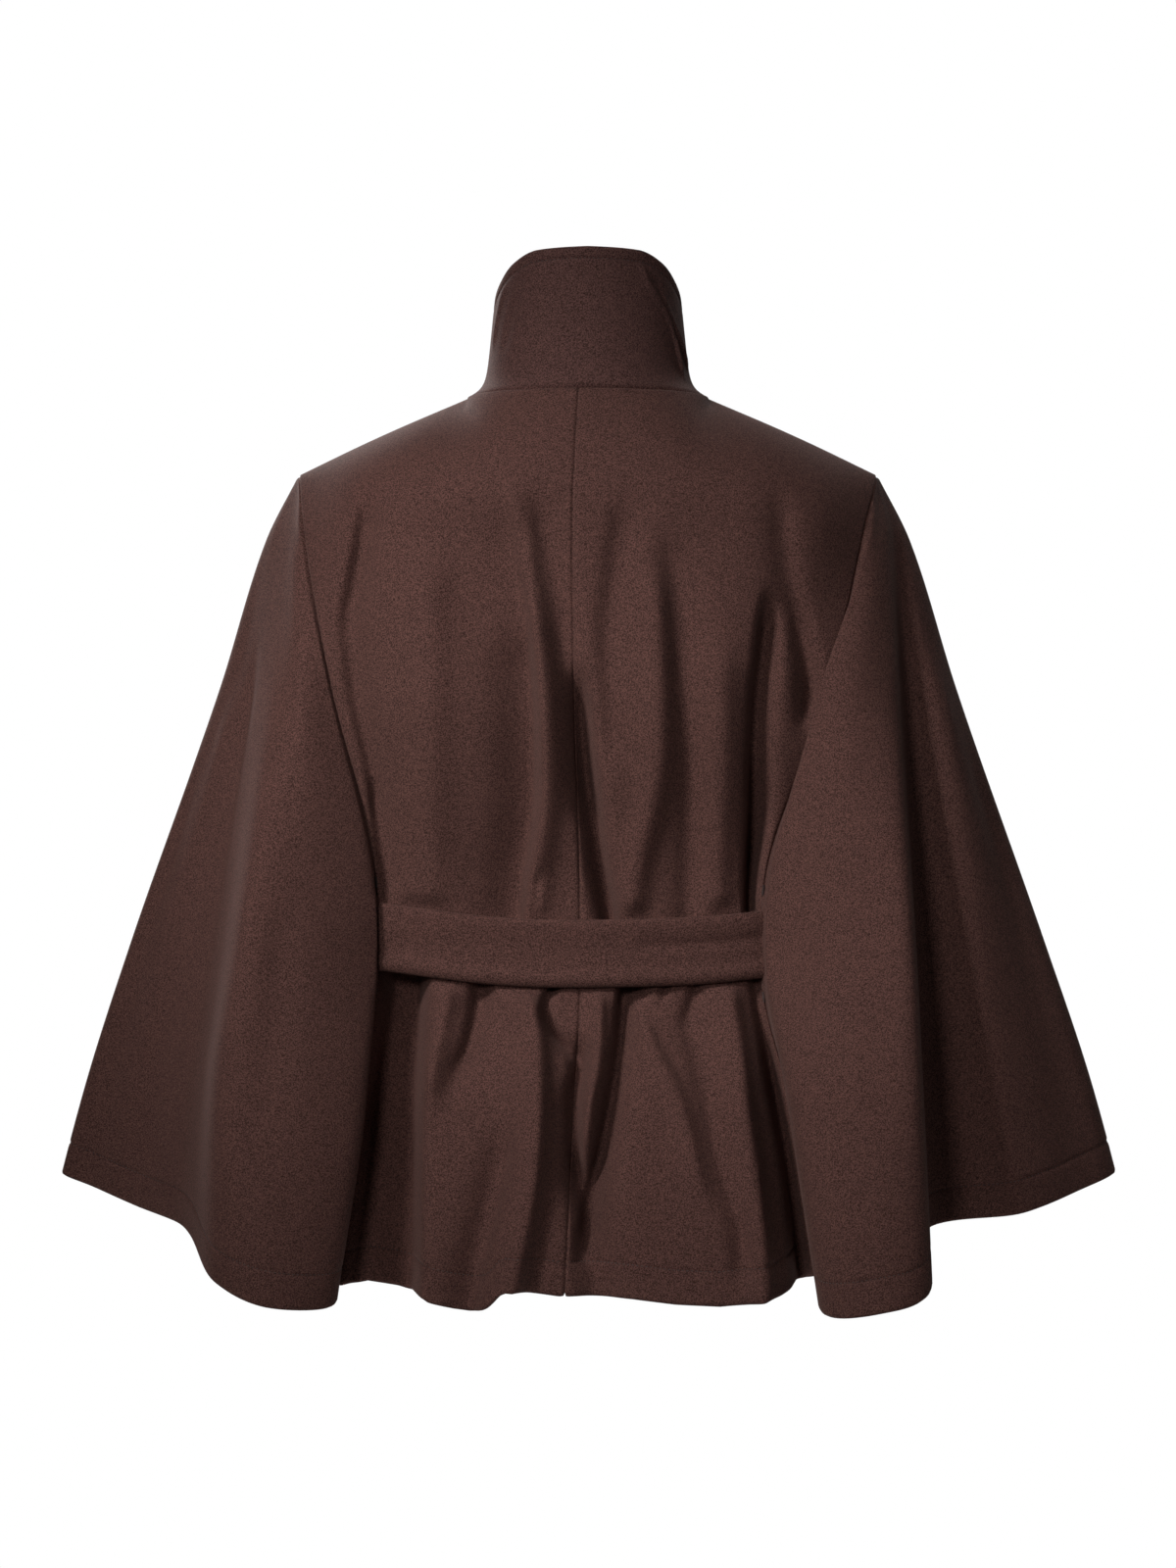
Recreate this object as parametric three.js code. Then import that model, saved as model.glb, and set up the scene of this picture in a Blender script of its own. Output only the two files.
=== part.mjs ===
// A short cape jacket of dark brown wool cloth, as it hangs on a standing figure.
// Two back panels, two fronts and two cape sides hang from the shoulders, a tall
// collar stands on the neckline, and a tie belt holds the back and the fronts in.
// Millimetres. +X is the wearer's right, +Y the way the wearer faces, +Z up. The
// origin is the middle of the neck, level with the collar's seam at the centre back.
import * as THREE from "three";

// The cloth's thickness, and the space kept at seams and over what lies beneath.
const CLOTH_WALL = 2.5;
const COLLAR_WALL = 4;
const BELT_WALL = 4.5;
const SEAM_INSET = 0.32;
const REST_GAP = 0.5;
const MITRE_LIMIT = 0.28;
const MITRE_WALL = 1.5;

// The neckline seam, an oval that dips to the front, and the shoulder seam.
const NECK = { halfWidth: 91, back: 80, front: 68, sideDrop: 2.7, frontDrop: 41, lastAngle: 171 };
const CENTRE_BACK_X = -7;
const SHOULDER = { neckX: 91, neckZ: -2.7, bendX: 163, bendZ: -34.5, tipX: 219, tipZ: -61 };
const SHOULDER_ROUND = 85;

// Heights at which the stations below give x and y. The third one is the belt's.
const LEVELS = { chest: -110, blade: -220, hip: -520, low: -665 };
const BELT = { height: 50, band: 27, centreZ: -419, leftZ: -406, rightZ: -412, leftX: 157, rightX: 130 };
const BELT_FADE = 26;
const SLIT_LIFT = 8;

// Vertical stations round the garment: at is the place along the panel, x and y the
// distances out and towards the front at chest, blade, belt, hip and low, hem the
// hem's height, and round how fully the cloth rounds over the shoulder.
const BACK_RIGHT = [
  { at: 0.0, x: [-7, -7, -7, -7, -7], y: [-119, -127, -94, -124, -160], hem: -663, round: 0 },
  { at: 1.2, x: [42, 36, 32, 33, 36], y: [-118, -126, -93, -124, -161], hem: -666, round: 0 },
  { at: 2.2, x: [84, 72, 64, 66, 72], y: [-113, -122, -90, -121, -162], hem: -670, round: 0.3 },
  { at: 3.1, x: [126, 106, 94, 97, 108], y: [-108, -116, -86, -117, -160], hem: -669, round: 0.9 },
  { at: 3.9, x: [168, 138, 117, 121, 136], y: [-92, -104, -80, -110, -152], hem: -660, round: 1 },
  { at: 4.7, x: [207, 168, 130, 148, 170], y: [-56, -90, -76, -82, -108], hem: -652, round: 1 },
];
const BACK_LEFT = [
  { at: 0.0, x: [7, 7, 7, 7, 7], y: [-119, -127, -94, -124, -160], hem: -663, round: 0 },
  { at: 1.2, x: [48, 46, 46, 50, 56], y: [-118, -126, -93, -124, -161], hem: -661, round: 0 },
  { at: 2.2, x: [88, 84, 84, 90, 102], y: [-113, -122, -90, -121, -160], hem: -675, round: 0.3 },
  { at: 3.1, x: [130, 120, 116, 122, 136], y: [-108, -116, -86, -114, -152], hem: -664, round: 0.9 },
  { at: 3.9, x: [174, 154, 142, 148, 162], y: [-92, -106, -80, -104, -140], hem: -658, round: 1 },
  { at: 4.7, x: [212, 190, 157, 170, 184], y: [-56, -92, -80, -88, -120], hem: -660, round: 1 },
];
const FRONT = [
  { at: 0.0, x: [207, 168, 134, 148, 168], y: [56, 92, 76, 82, 104], hem: -652, round: 1 },
  { at: 0.8, x: [168, 136, 118, 122, 136], y: [92, 108, 78, 104, 140], hem: -656, round: 1 },
  { at: 1.6, x: [130, 110, 98, 100, 110], y: [104, 120, 86, 114, 148], hem: -662, round: 0.9 },
  { at: 2.5, x: [88, 76, 68, 70, 76], y: [106, 126, 90, 118, 152], hem: -664, round: 0.3 },
  { at: 3.5, x: [52, 40, 32, 32, 34], y: [104, 124, 93, 120, 154], hem: -662, round: 0 },
  { at: 4.5, x: [2, -20, -30, -30, -30], y: [105, 125, 93, 120, 154], hem: -660, round: 0 },
];
// The capes run from the back seam over the ridge and the outer edge to the front seam.
const CAPE_FRONT = [
  { at: 6.4, x: [238, 260, 296, 316, 340], y: [12, 36, 60, 68, 74], hem: -606 },
  { at: 7.4, x: [230, 242, 256, 264, 274], y: [24, 54, 84, 96, 106], hem: -622 },
  { at: 8.2, x: [224, 228, 238, 246, 256], y: [36, 80, 130, 152, 176], hem: -650 },
  { at: 8.9, x: [217, 200, 186, 196, 212], y: [44, 98, 124, 154, 190], hem: -662 },
  { at: 9.6, x: [211, 174, 143, 155, 175], y: [51, 96, 94, 130, 168], hem: -664 },
];
const CAPE_RIGHT = [
  { at: 0.8, x: [211, 173, 137, 150, 172], y: [-50, -94, -95, -152, -192], hem: -673 },
  { at: 1.5, x: [217, 196, 180, 192, 206], y: [-43, -99, -132, -180, -222], hem: -668 },
  { at: 2.2, x: [224, 225, 232, 237, 243], y: [-34, -80, -147, -178, -206], hem: -657 },
  { at: 3.0, x: [230, 236, 243, 246, 252], y: [-22, -48, -80, -94, -110], hem: -622 },
  { at: 4.0, x: [238, 258, 290, 308, 330], y: [-12, -36, -62, -72, -80], hem: -611 },
  { at: 5.2, x: [243.5, 278, 345, 381, 419], y: [0, 0, 0, 0, 0], hem: -588 },
  ...CAPE_FRONT,
];
const CAPE_LEFT = [
  { at: 0.8, x: [215, 194, 160, 164, 184], y: [-50, -95, -96, -136, -190], hem: -668 },
  { at: 1.5, x: [219, 212, 205, 214, 230], y: [-43, -97, -126, -166, -214], hem: -664 },
  { at: 2.2, x: [224, 230, 248, 263, 268], y: [-34, -78, -136, -164, -190], hem: -650 },
  { at: 3.0, x: [232, 248, 272, 286, 296], y: [-22, -54, -92, -106, -116], hem: -624 },
  { at: 4.0, x: [239, 263, 306, 328, 352], y: [-12, -32, -58, -66, -66], hem: -610 },
  { at: 5.2, x: [243.5, 278, 345, 381, 419], y: [0, 0, 0, 0, 0], hem: -590 },
  ...CAPE_FRONT,
];
const CAPE_TIP = 5.2;
const CAPE_END = 10.4;

// The largest folds: x runs along the fold at heights z, depth is out (+) or in (-),
// and left and right are the half widths of its two flanks, seen from behind.
const BACK_FOLDS = [
  { z: [-120, -230, -300, -358, -392], x: [-54, -39, -37, -47, -52], depth: 8, left: 13, right: 26 },
  { z: [-100, -179, -265, -315], x: [-40, -30, -14, -8], depth: -5, left: 14, right: 14 },
  { z: [-300, -344, -366, -392], x: [-8, 0, 7, 16], depth: -9, left: 11, right: 11 },
  { z: [-180, -265, -337, -392], x: [52, 52, 43, 30], depth: 6, left: 20, right: 18 },
  { z: [-190, -265, -315, -392], x: [72, 72, 70, 72], depth: -6, left: 13, right: 14 },
  { z: [-150, -300, -392], x: [-117, -117, -115], depth: 4, left: 26, right: 26 },
  { z: [-430, -523, -700], x: [-102, -120, -120], depth: 5, left: 24, right: 24 },
  { z: [-430, -516, -602, -700], x: [-43, -41, -61, -80], depth: 12, left: 14, right: 28 },
  { z: [-470, -524, -575, -651, -700], x: [-5, -21, -21, -14, -12], depth: -9, left: 13, right: 13 },
  { z: [-430, -486, -519, -573], x: [10, 6, 0, -12], depth: 6, left: 12, right: 12 },
  { z: [-430, -519, -550, -590], x: [25, 14, 6, -8], depth: -8, left: 11, right: 11 },
  { z: [-430, -486, -524, -600], x: [22, 44, 59, 92], depth: 6, left: 15, right: 17 },
  { z: [-450, -545, -700], x: [108, 118, 130], depth: 5, left: 15, right: 14 },
];
const FRONT_FOLDS = [
  { z: [-170, -300, -392], x: [84, 74, 66], depth: 5, left: 18, right: 18 },
  { z: [-220, -320, -392], x: [112, 98, 90], depth: -4, left: 14, right: 14 },
  { z: [-430, -520, -700], x: [86, 92, 100], depth: 6, left: 20, right: 20 },
  { z: [-430, -520, -700], x: [110, 118, 126], depth: -4, left: 15, right: 15 },
];
const FOLD_FADE = 42;

// The wearer's right front laps over the left one.
const LAP = { out: 2.6, from: 60, over: 28, rows: 4 };

// The standing collar: heights of its top edge round from the centre back, how its
// width and depth draw in above the seam, and how far its front ends open.
const COLLAR_TOP = { angle: [0, 35, 55, 75, 95, 125, 171], z: [103, 101.5, 94, 80, 66, 48, 34] };
const COLLAR = { side: 78, lean: 0.1, flare: 13, flareHeight: 6, backIn: 13, backHeight: 30, open: 0.09 };
const COLLAR_ROWS = 7;

// Divisions of the panels: rows above the belt, below it, and columns.
const BODICE_ROWS = 12;
const FIRST_ROW = 0.008;
const ROW_SPREAD = 1.35;
const SKIRT_ROWS = 9;
const TOP_ROWS = 6;
const NECK_COLUMNS_BACK = 7;
const NECK_COLUMNS_FRONT = 6;
const SHOULDER_COLUMNS = 6;

// The belt's way between its slits, under the capes, and its knot and two tails.
const UNDER_CAPE_RIGHT = [[150, -64], [163, -36], [168, 0], [163, 36], [151, 63]];
const UNDER_CAPE_LEFT = [[-172, -64], [-181, -36], [-182, 0], [-172, 36], [-153, 63]];
const UNDER_CAPE_STEPS = 12;
const KNOT = { halfWidth: 20, halfDepth: 9, halfHeight: 33, square: 0.6, around: 20, down: 12 };
const TAILS = {
  belt_tail_right: { topX: 11, endX: 38, topWidth: 15, width: 44, endZ: -645, lift: 4.8 },
  belt_tail_left: { topX: -11, endX: -48, topWidth: 15, width: 44, endZ: -632, lift: 4.8 },
};
const TAIL_WALL = 3.5;
const TAIL_RISE = 5;
const TAIL_TUCK = 0.3;
const TAIL_ROWS = 12;
const TAIL_COLUMNS = 3;

const clamp01 = (t) => Math.min(1, Math.max(0, t));
const smooth = (t) => clamp01(t) ** 2 * (3 - 2 * clamp01(t));

// A smooth curve through heights that fall, with no overshoot, and straight past its ends.
function through(heights, values, z) {
  const last = heights.length - 1;
  const step = [];
  const slope = [];
  for (let i = 0; i < last; i += 1) {
    step.push(heights[i] - heights[i + 1]);
    slope.push((values[i + 1] - values[i]) / step[i]);
  }
  const tangent = heights.map((_, i) => {
    if (i === 0) return slope[0];
    if (i === last) return slope[last - 1];
    const product = slope[i - 1] * slope[i];
    return product > 0 ? (2 * product) / (slope[i - 1] + slope[i]) : 0;
  });
  if (z >= heights[0]) return values[0] + (heights[0] - z) * tangent[0];
  if (z <= heights[last]) return values[last] + (heights[last] - z) * tangent[last];
  let i = 0;
  while (z < heights[i + 1]) i += 1;
  const u = (heights[i] - z) / step[i];
  const v = 1 - u;
  return (1 + 2 * u) * v * v * values[i] + u * v * v * step[i] * tangent[i]
    + u * u * (3 - 2 * u) * values[i + 1] - u * u * v * step[i] * tangent[i + 1];
}

// A smooth blend of the stations' values at the place s between unevenly set knots.
function blend(knots, values, s) {
  const last = knots.length - 1;
  let i = 0;
  while (i < last - 1 && s > knots[i + 1]) i += 1;
  const tangent = (k) => {
    const slope = (j) => (values[j + 1] - values[j]) / (knots[j + 1] - knots[j]);
    if (k === 0) return slope(0);
    if (k === last) return slope(last - 1);
    const before = knots[k] - knots[k - 1];
    const after = knots[k + 1] - knots[k];
    return (slope(k - 1) * after + slope(k) * before) / (before + after);
  };
  const step = knots[i + 1] - knots[i];
  const u = (s - knots[i]) / step;
  const v = 1 - u;
  return (1 + 2 * u) * v * v * values[i] + u * v * v * step * tangent(i)
    + u * u * (3 - 2 * u) * values[i + 1] - u * u * v * step * tangent(i + 1);
}

// The neckline at an angle from the centre back, positive to the wearer's right.
function neckline(degrees) {
  const turn = Math.abs(degrees);
  const angle = THREE.MathUtils.degToRad(turn);
  const depth = turn < 90 ? NECK.back : NECK.front;
  const drop = NECK.sideDrop * Math.min(1, turn / 90) ** 2
    + NECK.frontDrop * clamp01((turn - 90) / 81) ** 1.3;
  const x = NECK.halfWidth * Math.sin(angle) * Math.sign(degrees);
  return new THREE.Vector3(x, -depth * Math.cos(angle), -drop);
}

// The shoulder seam from the neck point (0) to the shoulder tip (1), on one side.
function shoulder(part, side) {
  const x = SHOULDER.neckX + (SHOULDER.tipX - SHOULDER.neckX) * part;
  const z = through(
    [-SHOULDER.neckX, -SHOULDER.bendX, -SHOULDER.tipX],
    [SHOULDER.neckZ, SHOULDER.bendZ, SHOULDER.tipZ],
    -x,
  );
  return new THREE.Vector3(side * x, 0, z);
}

// Rows down a panel: the bodice above the belt's band, the band and the skirt.
function panelRows() {
  const rows = [{ zone: 0, part: 0 }, { zone: 0, part: FIRST_ROW }];
  for (let i = 1; i <= BODICE_ROWS; i += 1) rows.push({ zone: 0, part: (i / BODICE_ROWS) ** ROW_SPREAD });
  rows.push({ zone: 1, part: 0.5 }, { zone: 1, part: 1 });
  for (let i = 1; i <= SKIRT_ROWS; i += 1) rows.push({ zone: 2, part: i / SKIRT_ROWS });
  return rows;
}
const ROWS = panelRows();
const BAND_ROW = BODICE_ROWS + 2;

// The height of the belt's middle line where the back, seen from behind, is x out.
function beltMiddle(x) {
  const left = (BELT.leftZ - BELT.centreZ) * (x / BELT.leftX) ** 2;
  const right = (BELT.rightZ - BELT.centreZ) * (x / BELT.rightX) ** 2;
  return BELT.centreZ + (x < 0 ? left : right);
}

// One station's line of points from its top to the hem, for rows from firstRow down.
function stationLine(station, top, beltZ, side, firstRow) {
  const heights = [LEVELS.chest, LEVELS.blade, beltZ, LEVELS.hip, LEVELS.low];
  const heldHeights = heights.flatMap((z) => (z === beltZ ? [z + BELT.band, z - BELT.band] : [z]));
  const held = (values) => values.flatMap((value, i) => (i === 2 ? [value, value] : [value]));
  const start = ROWS[firstRow].part;
  const bandTop = beltZ + BELT.band;
  return ROWS.slice(firstRow).map(({ zone, part }) => {
    let z = top.z + (bandTop - top.z) * ((part - start) / (1 - start));
    if (zone === 1) z = bandTop - 2 * BELT.band * part;
    if (zone === 2) z = bandTop - 2 * BELT.band + (station.hem - bandTop + 2 * BELT.band) * part;
    if (station.round === undefined) {
      const x = through([top.z, ...heights], [side * top.x, ...station.x], z);
      return new THREE.Vector3(side * x, through([top.z, ...heights], [top.y, ...station.y], z), z);
    }
    const x = through([top.z, ...heldHeights], [side * top.x, ...held(station.x)], z);
    const far = through(heldHeights, held(station.y), z);
    const q = clamp01((top.z - z) / SHOULDER_ROUND);
    const ease = (1 - station.round) * q * (2 - q) + station.round * Math.sqrt(q * (2 - q));
    return new THREE.Vector3(side * x, top.y + (far - top.y) * ease, z);
  });
}

// Stations' lines blended into columns that start exactly on the top edge.
function panelGrid(knots, lines, columns, topEdge) {
  return columns.map((s) => {
    const blended = lines[0].map((_, row) => {
      const along = (axis) => blend(knots, lines.map((line) => line[row][axis]), s);
      return new THREE.Vector3(along("x"), along("y"), along("z"));
    });
    const missed = topEdge(s).sub(blended[0]);
    return blended.map((point, row) => point.addScaledVector(missed, 1 - smooth(row / TOP_ROWS)));
  });
}

// How far the folds lift the cloth at a place, held flat under the belt.
function foldLift(folds, x, z, beltZ) {
  const held = 1 - smooth((Math.abs(z - beltZ) - BELT.band) / BELT_FADE);
  const sum = folds.reduce((total, fold) => {
    const bottom = fold.z[fold.z.length - 1];
    const fade = smooth((fold.z[0] - z) / FOLD_FADE) * smooth((z - bottom) / FOLD_FADE);
    const away = x - through(fold.z, fold.x, z);
    const width = away < 0 ? fold.left : fold.right;
    return total + fold.depth * fade * Math.exp(-((away / width) ** 2));
  }, 0);
  return sum * (1 - held);
}

function spread(from, to, count) {
  return Array.from({ length: count + 1 }, (_, i) => from + ((to - from) * i) / count);
}

// A back panel from the centre back seam to the cape's seam. side is 1 on the right.
function backPanel(stations, side) {
  const knots = stations.map((station) => station.at);
  const [neckEnd, tip] = [knots[2], knots[knots.length - 1]];
  const centreAngle = THREE.MathUtils.radToDeg(Math.asin(CENTRE_BACK_X / NECK.halfWidth)) * side;
  const topEdge = (s) => {
    if (s > neckEnd) return shoulder((s - neckEnd) / (tip - neckEnd), side);
    return neckline(side * through([0, -knots[1], -neckEnd], [centreAngle, 35, 90], -s));
  };
  const lines = stations.map((station) => {
    const beltZ = beltMiddle(side * station.x[2]);
    return stationLine(station, topEdge(station.at), beltZ, side, 0);
  });
  const columns = spread(0, neckEnd, NECK_COLUMNS_BACK);
  columns.push(...spread(neckEnd, tip, SHOULDER_COLUMNS).slice(1));
  const grid = panelGrid(knots, lines, columns, topEdge);
  grid.forEach((column, c) => {
    if (c === columns.length - 1) return;
    const beltZ = beltMiddle(column[BAND_ROW].x);
    column.forEach((point) => {
      point.y -= foldLift(BACK_FOLDS, point.x, point.z, beltZ);
    });
  });
  return grid;
}

// A front panel from the cape's seam to the front edge, lapped out or in near it.
function frontPanel(side) {
  const knots = FRONT.map((station) => station.at);
  const [neckStart, end] = [knots[3], knots[knots.length - 1]];
  const topEdge = (s) => {
    if (s < neckStart) return shoulder(1 - s / neckStart, side);
    return neckline(side * (90 + ((NECK.lastAngle - 90) * (s - neckStart)) / (end - neckStart)));
  };
  const lines = FRONT.map((station) => stationLine(station, topEdge(station.at), BELT.rightZ, side, 0));
  const columns = spread(0, neckStart, SHOULDER_COLUMNS);
  columns.push(...spread(neckStart, end, NECK_COLUMNS_FRONT).slice(1));
  const grid = panelGrid(knots, lines, columns, topEdge);
  grid.forEach((column, c) => {
    if (c === 0) return;
    column.forEach((point, row) => {
      const x = side * point.x;
      const lap = side * LAP.out * smooth((LAP.from - x) / LAP.over) * smooth(row / LAP.rows);
      point.y += lap + foldLift(FRONT_FOLDS, x, point.z, BELT.rightZ);
    });
  });
  return grid;
}

// A cape side between the back's and the front's seams. Its seam edges lift off
// the belt where it passes through the slits.
function capePanel(stations, side, backSeam, frontSeam) {
  const knots = [0, ...stations.map((station) => station.at), CAPE_END];
  const [backTop, apex, frontTop] = [backSeam[1], backSeam[0], frontSeam[1]];
  const topEdge = (s) => {
    if (s < CAPE_TIP) return backTop.clone().lerp(apex, s / CAPE_TIP);
    return apex.clone().lerp(frontTop, (s - CAPE_TIP) / (CAPE_END - CAPE_TIP));
  };
  const backBelt = backSeam[BAND_ROW].z;
  const frontBelt = frontSeam[BAND_ROW].z;
  const lines = stations.map((station) => {
    const beltZ = backBelt + (frontBelt - backBelt) * (station.at / CAPE_END);
    return stationLine(station, topEdge(station.at), beltZ, side, 1);
  });
  const columns = [0];
  for (let i = 1; i < knots.length; i += 1) {
    const parts = knots[i] === CAPE_TIP || knots[i - 1] === CAPE_TIP ? 3 : 2;
    columns.push(...spread(knots[i - 1], knots[i], parts).slice(1));
  }
  const grid = panelGrid(knots, [backSeam.slice(1), ...lines, frontSeam.slice(1)], columns, topEdge);
  const lift = (column, sign) => column.forEach((point) => {
    const open = 1 - smooth((Math.abs(point.z - BELT.rightZ) - BELT.band - 8) / 10);
    point.y += sign * SLIT_LIFT * open;
  });
  lift(grid[0], -1);
  lift(grid[1], -0.6);
  lift(grid[grid.length - 2], 0.6);
  lift(grid[grid.length - 1], 1);
  return grid;
}

// The collar over the neckline's own points, its top edge first.
function collarGrid(angles) {
  return angles.map((angle) => {
    const foot = neckline(angle);
    const turn = Math.abs(angle);
    const top = through(COLLAR_TOP.angle.map((a) => -a), COLLAR_TOP.z, -turn);
    return spread(1, 0, COLLAR_ROWS).map((up) => {
      const h = up * (top - foot.z);
      const flare = COLLAR.flare * Math.exp(-h / COLLAR.flareHeight);
      const wide = (COLLAR.side - COLLAR.lean * h + flare) / (COLLAR.side + COLLAR.flare);
      const deep = 1 - (COLLAR.backIn / NECK.back) * (1 - Math.exp(-h / COLLAR.backHeight));
      const at = neckline(angle * (1 - COLLAR.open * up * smooth((turn - 60) / 110)));
      return new THREE.Vector3(at.x * wide, at.y * deep, foot.z + h);
    });
  });
}

// Normals at a grid's points, out of the cloth.
function gridNormals(grid) {
  const [lastColumn, lastRow] = [grid.length - 1, grid[0].length - 1];
  return grid.map((column, c) => column.map((_, r) => {
    const down = column[Math.min(r + 1, lastRow)].clone().sub(column[Math.max(r - 1, 0)]);
    const across = grid[Math.min(c + 1, lastColumn)][r].clone().sub(grid[Math.max(c - 1, 0)][r]);
    return down.cross(across).normalize();
  }));
}

// The mean normals at points where grids meet, by place.
const placeKey = (point) => point.toArray().map((v) => Math.round(v * 100)).join(",");
function sharedNormals(grids) {
  const sums = new Map();
  grids.forEach((grid) => {
    gridNormals(grid).forEach((column, c) => column.forEach((normal, r) => {
      const key = placeKey(grid[c][r]);
      if (!sums.has(key)) sums.set(key, new THREE.Vector3());
      sums.get(key).add(normal);
    }));
  });
  sums.forEach((normal) => normal.normalize());
  return sums;
}

// A solid sheet: the grid's points outside, the same moved in by the wall inside.
// Each edge is drawn back a little, and more where the seam lies in a sharp valley,
// which leaves the seam's gap between panels.
function sheetGeometry(grid, normals, wall) {
  const own = gridNormals(grid);
  const mitre = grid.map((column, c) => column.map((_, r) => {
    return 1 / Math.max(own[c][r].dot(normals[c][r]), MITRE_LIMIT);
  }));
  const lastColumn = grid.length - 1;
  const lastRow = grid[0].length - 1;
  const drawnBack = (inward, before, after, factor) => {
    const along = after.clone().sub(before).normalize();
    return inward.clone().addScaledVector(along, -inward.dot(along)).setLength(SEAM_INSET * factor);
  };
  const outer = grid.map((column, c) => column.map((point, r) => {
    const [inC, inR] = [Math.min(Math.max(c, 1), lastColumn - 1), Math.min(Math.max(r, 1), lastRow - 1)];
    const inward = grid[inC][inR].clone().sub(point);
    const moved = point.clone();
    const down = [column[Math.max(r - 1, 0)], column[Math.min(r + 1, lastRow)]];
    const across = [grid[Math.max(c - 1, 0)][r], grid[Math.min(c + 1, lastColumn)][r]];
    if (c !== inC) moved.add(drawnBack(inward, ...down, mitre[c][r]));
    if (r !== inR) moved.add(drawnBack(inward, ...across, mitre[c][r]));
    return moved;
  }));
  const inner = outer.map((column, c) => column.map((point, r) => {
    return point.clone().addScaledVector(normals[c][r], -wall * Math.min(mitre[c][r], MITRE_WALL));
  }));
  const points = [...outer.flat(), ...inner.flat()];
  const rows = lastRow + 1;
  const index = (c, r, layer) => layer * outer.length * rows + c * rows + r;
  const faces = [];
  const quad = (a, b, c, d) => faces.push([a, b, c], [a, c, d]);
  for (let c = 0; c < lastColumn; c += 1) {
    for (let r = 0; r < lastRow; r += 1) {
      quad(index(c, r, 0), index(c, r + 1, 0), index(c + 1, r + 1, 0), index(c + 1, r, 0));
      quad(index(c, r, 1), index(c + 1, r, 1), index(c + 1, r + 1, 1), index(c, r + 1, 1));
    }
    quad(index(c, 0, 0), index(c + 1, 0, 0), index(c + 1, 0, 1), index(c, 0, 1));
    const low = lastRow;
    quad(index(c, low, 0), index(c, low, 1), index(c + 1, low, 1), index(c + 1, low, 0));
  }
  for (let r = 0; r < lastRow; r += 1) {
    quad(index(0, r, 0), index(0, r, 1), index(0, r + 1, 1), index(0, r + 1, 0));
    const end = lastColumn;
    quad(index(end, r, 0), index(end, r + 1, 0), index(end, r + 1, 1), index(end, r, 1));
  }
  return solidGeometry(points, faces);
}

// A closed body from points and triangles that face out.
function solidGeometry(points, faces) {
  const geometry = new THREE.BufferGeometry();
  geometry.setAttribute("position", new THREE.Float32BufferAttribute(points.flatMap((p) => p.toArray()), 3));
  geometry.setIndex(faces.flat());
  geometry.computeVertexNormals();
  return geometry;
}

// The belt: a flat band round a closed line of points on the cloth that it holds.
function beltGeometry(line) {
  const half = BELT.height / 2;
  const soft = BELT_WALL / 3;
  const section = [
    [0, half - soft], [0, soft - half], [BELT_WALL / 2, -half],
    [BELT_WALL, soft - half], [BELT_WALL, half - soft], [BELT_WALL / 2, half],
  ];
  const count = line.length;
  const points = line.flatMap((point, i) => {
    const along = line[(i + 1) % count].clone().sub(line[(i + count - 1) % count]);
    const out = new THREE.Vector3(along.y, -along.x, 0).normalize();
    return section.map(([depth, up]) => {
      return point.clone().addScaledVector(out, REST_GAP + depth).add(new THREE.Vector3(0, 0, up));
    });
  });
  const size = section.length;
  const faces = [];
  for (let i = 0; i < count; i += 1) {
    const next = (i + 1) % count;
    for (let k = 0; k < size; k += 1) {
      const other = (k + 1) % size;
      const [a, b, c, d] = [i * size + k, i * size + other, next * size + other, next * size + k];
      faces.push([a, c, b], [a, d, c]);
    }
  }
  return solidGeometry(points, faces);
}

// The closed line under the belt, from the right front edge round by the left front.
function beltLine(panels) {
  const onRow = (grid) => grid.map((column) => column[BAND_ROW]);
  const underCape = (from, places, to) => {
    const beltZ = (i) => from.z + ((to.z - from.z) * (i + 1)) / (places.length + 1);
    const points = places.map(([x, y], i) => new THREE.Vector3(x, y, beltZ(i)));
    const curve = new THREE.CatmullRomCurve3([from, ...points, to]);
    return curve.getPoints(UNDER_CAPE_STEPS).slice(1, -1);
  };
  const backLeft = onRow(panels.back_left);
  const backRight = onRow(panels.back_right);
  const frontRight = onRow(panels.front_right);
  const frontEdge = frontRight[frontRight.length - 1];
  const frontLeft = onRow(panels.front_left).filter((point) => point.x < frontEdge.x - 8);
  const [leftStart, rightEnd] = [frontLeft[frontLeft.length - 1], frontRight[0]];
  return [
    ...backLeft,
    ...backRight.slice(1),
    ...underCape(backRight[backRight.length - 1], UNDER_CAPE_RIGHT, rightEnd),
    ...frontRight,
    ...frontLeft,
    ...underCape(backLeft[0], UNDER_CAPE_LEFT, leftStart).reverse(),
  ];
}

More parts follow.
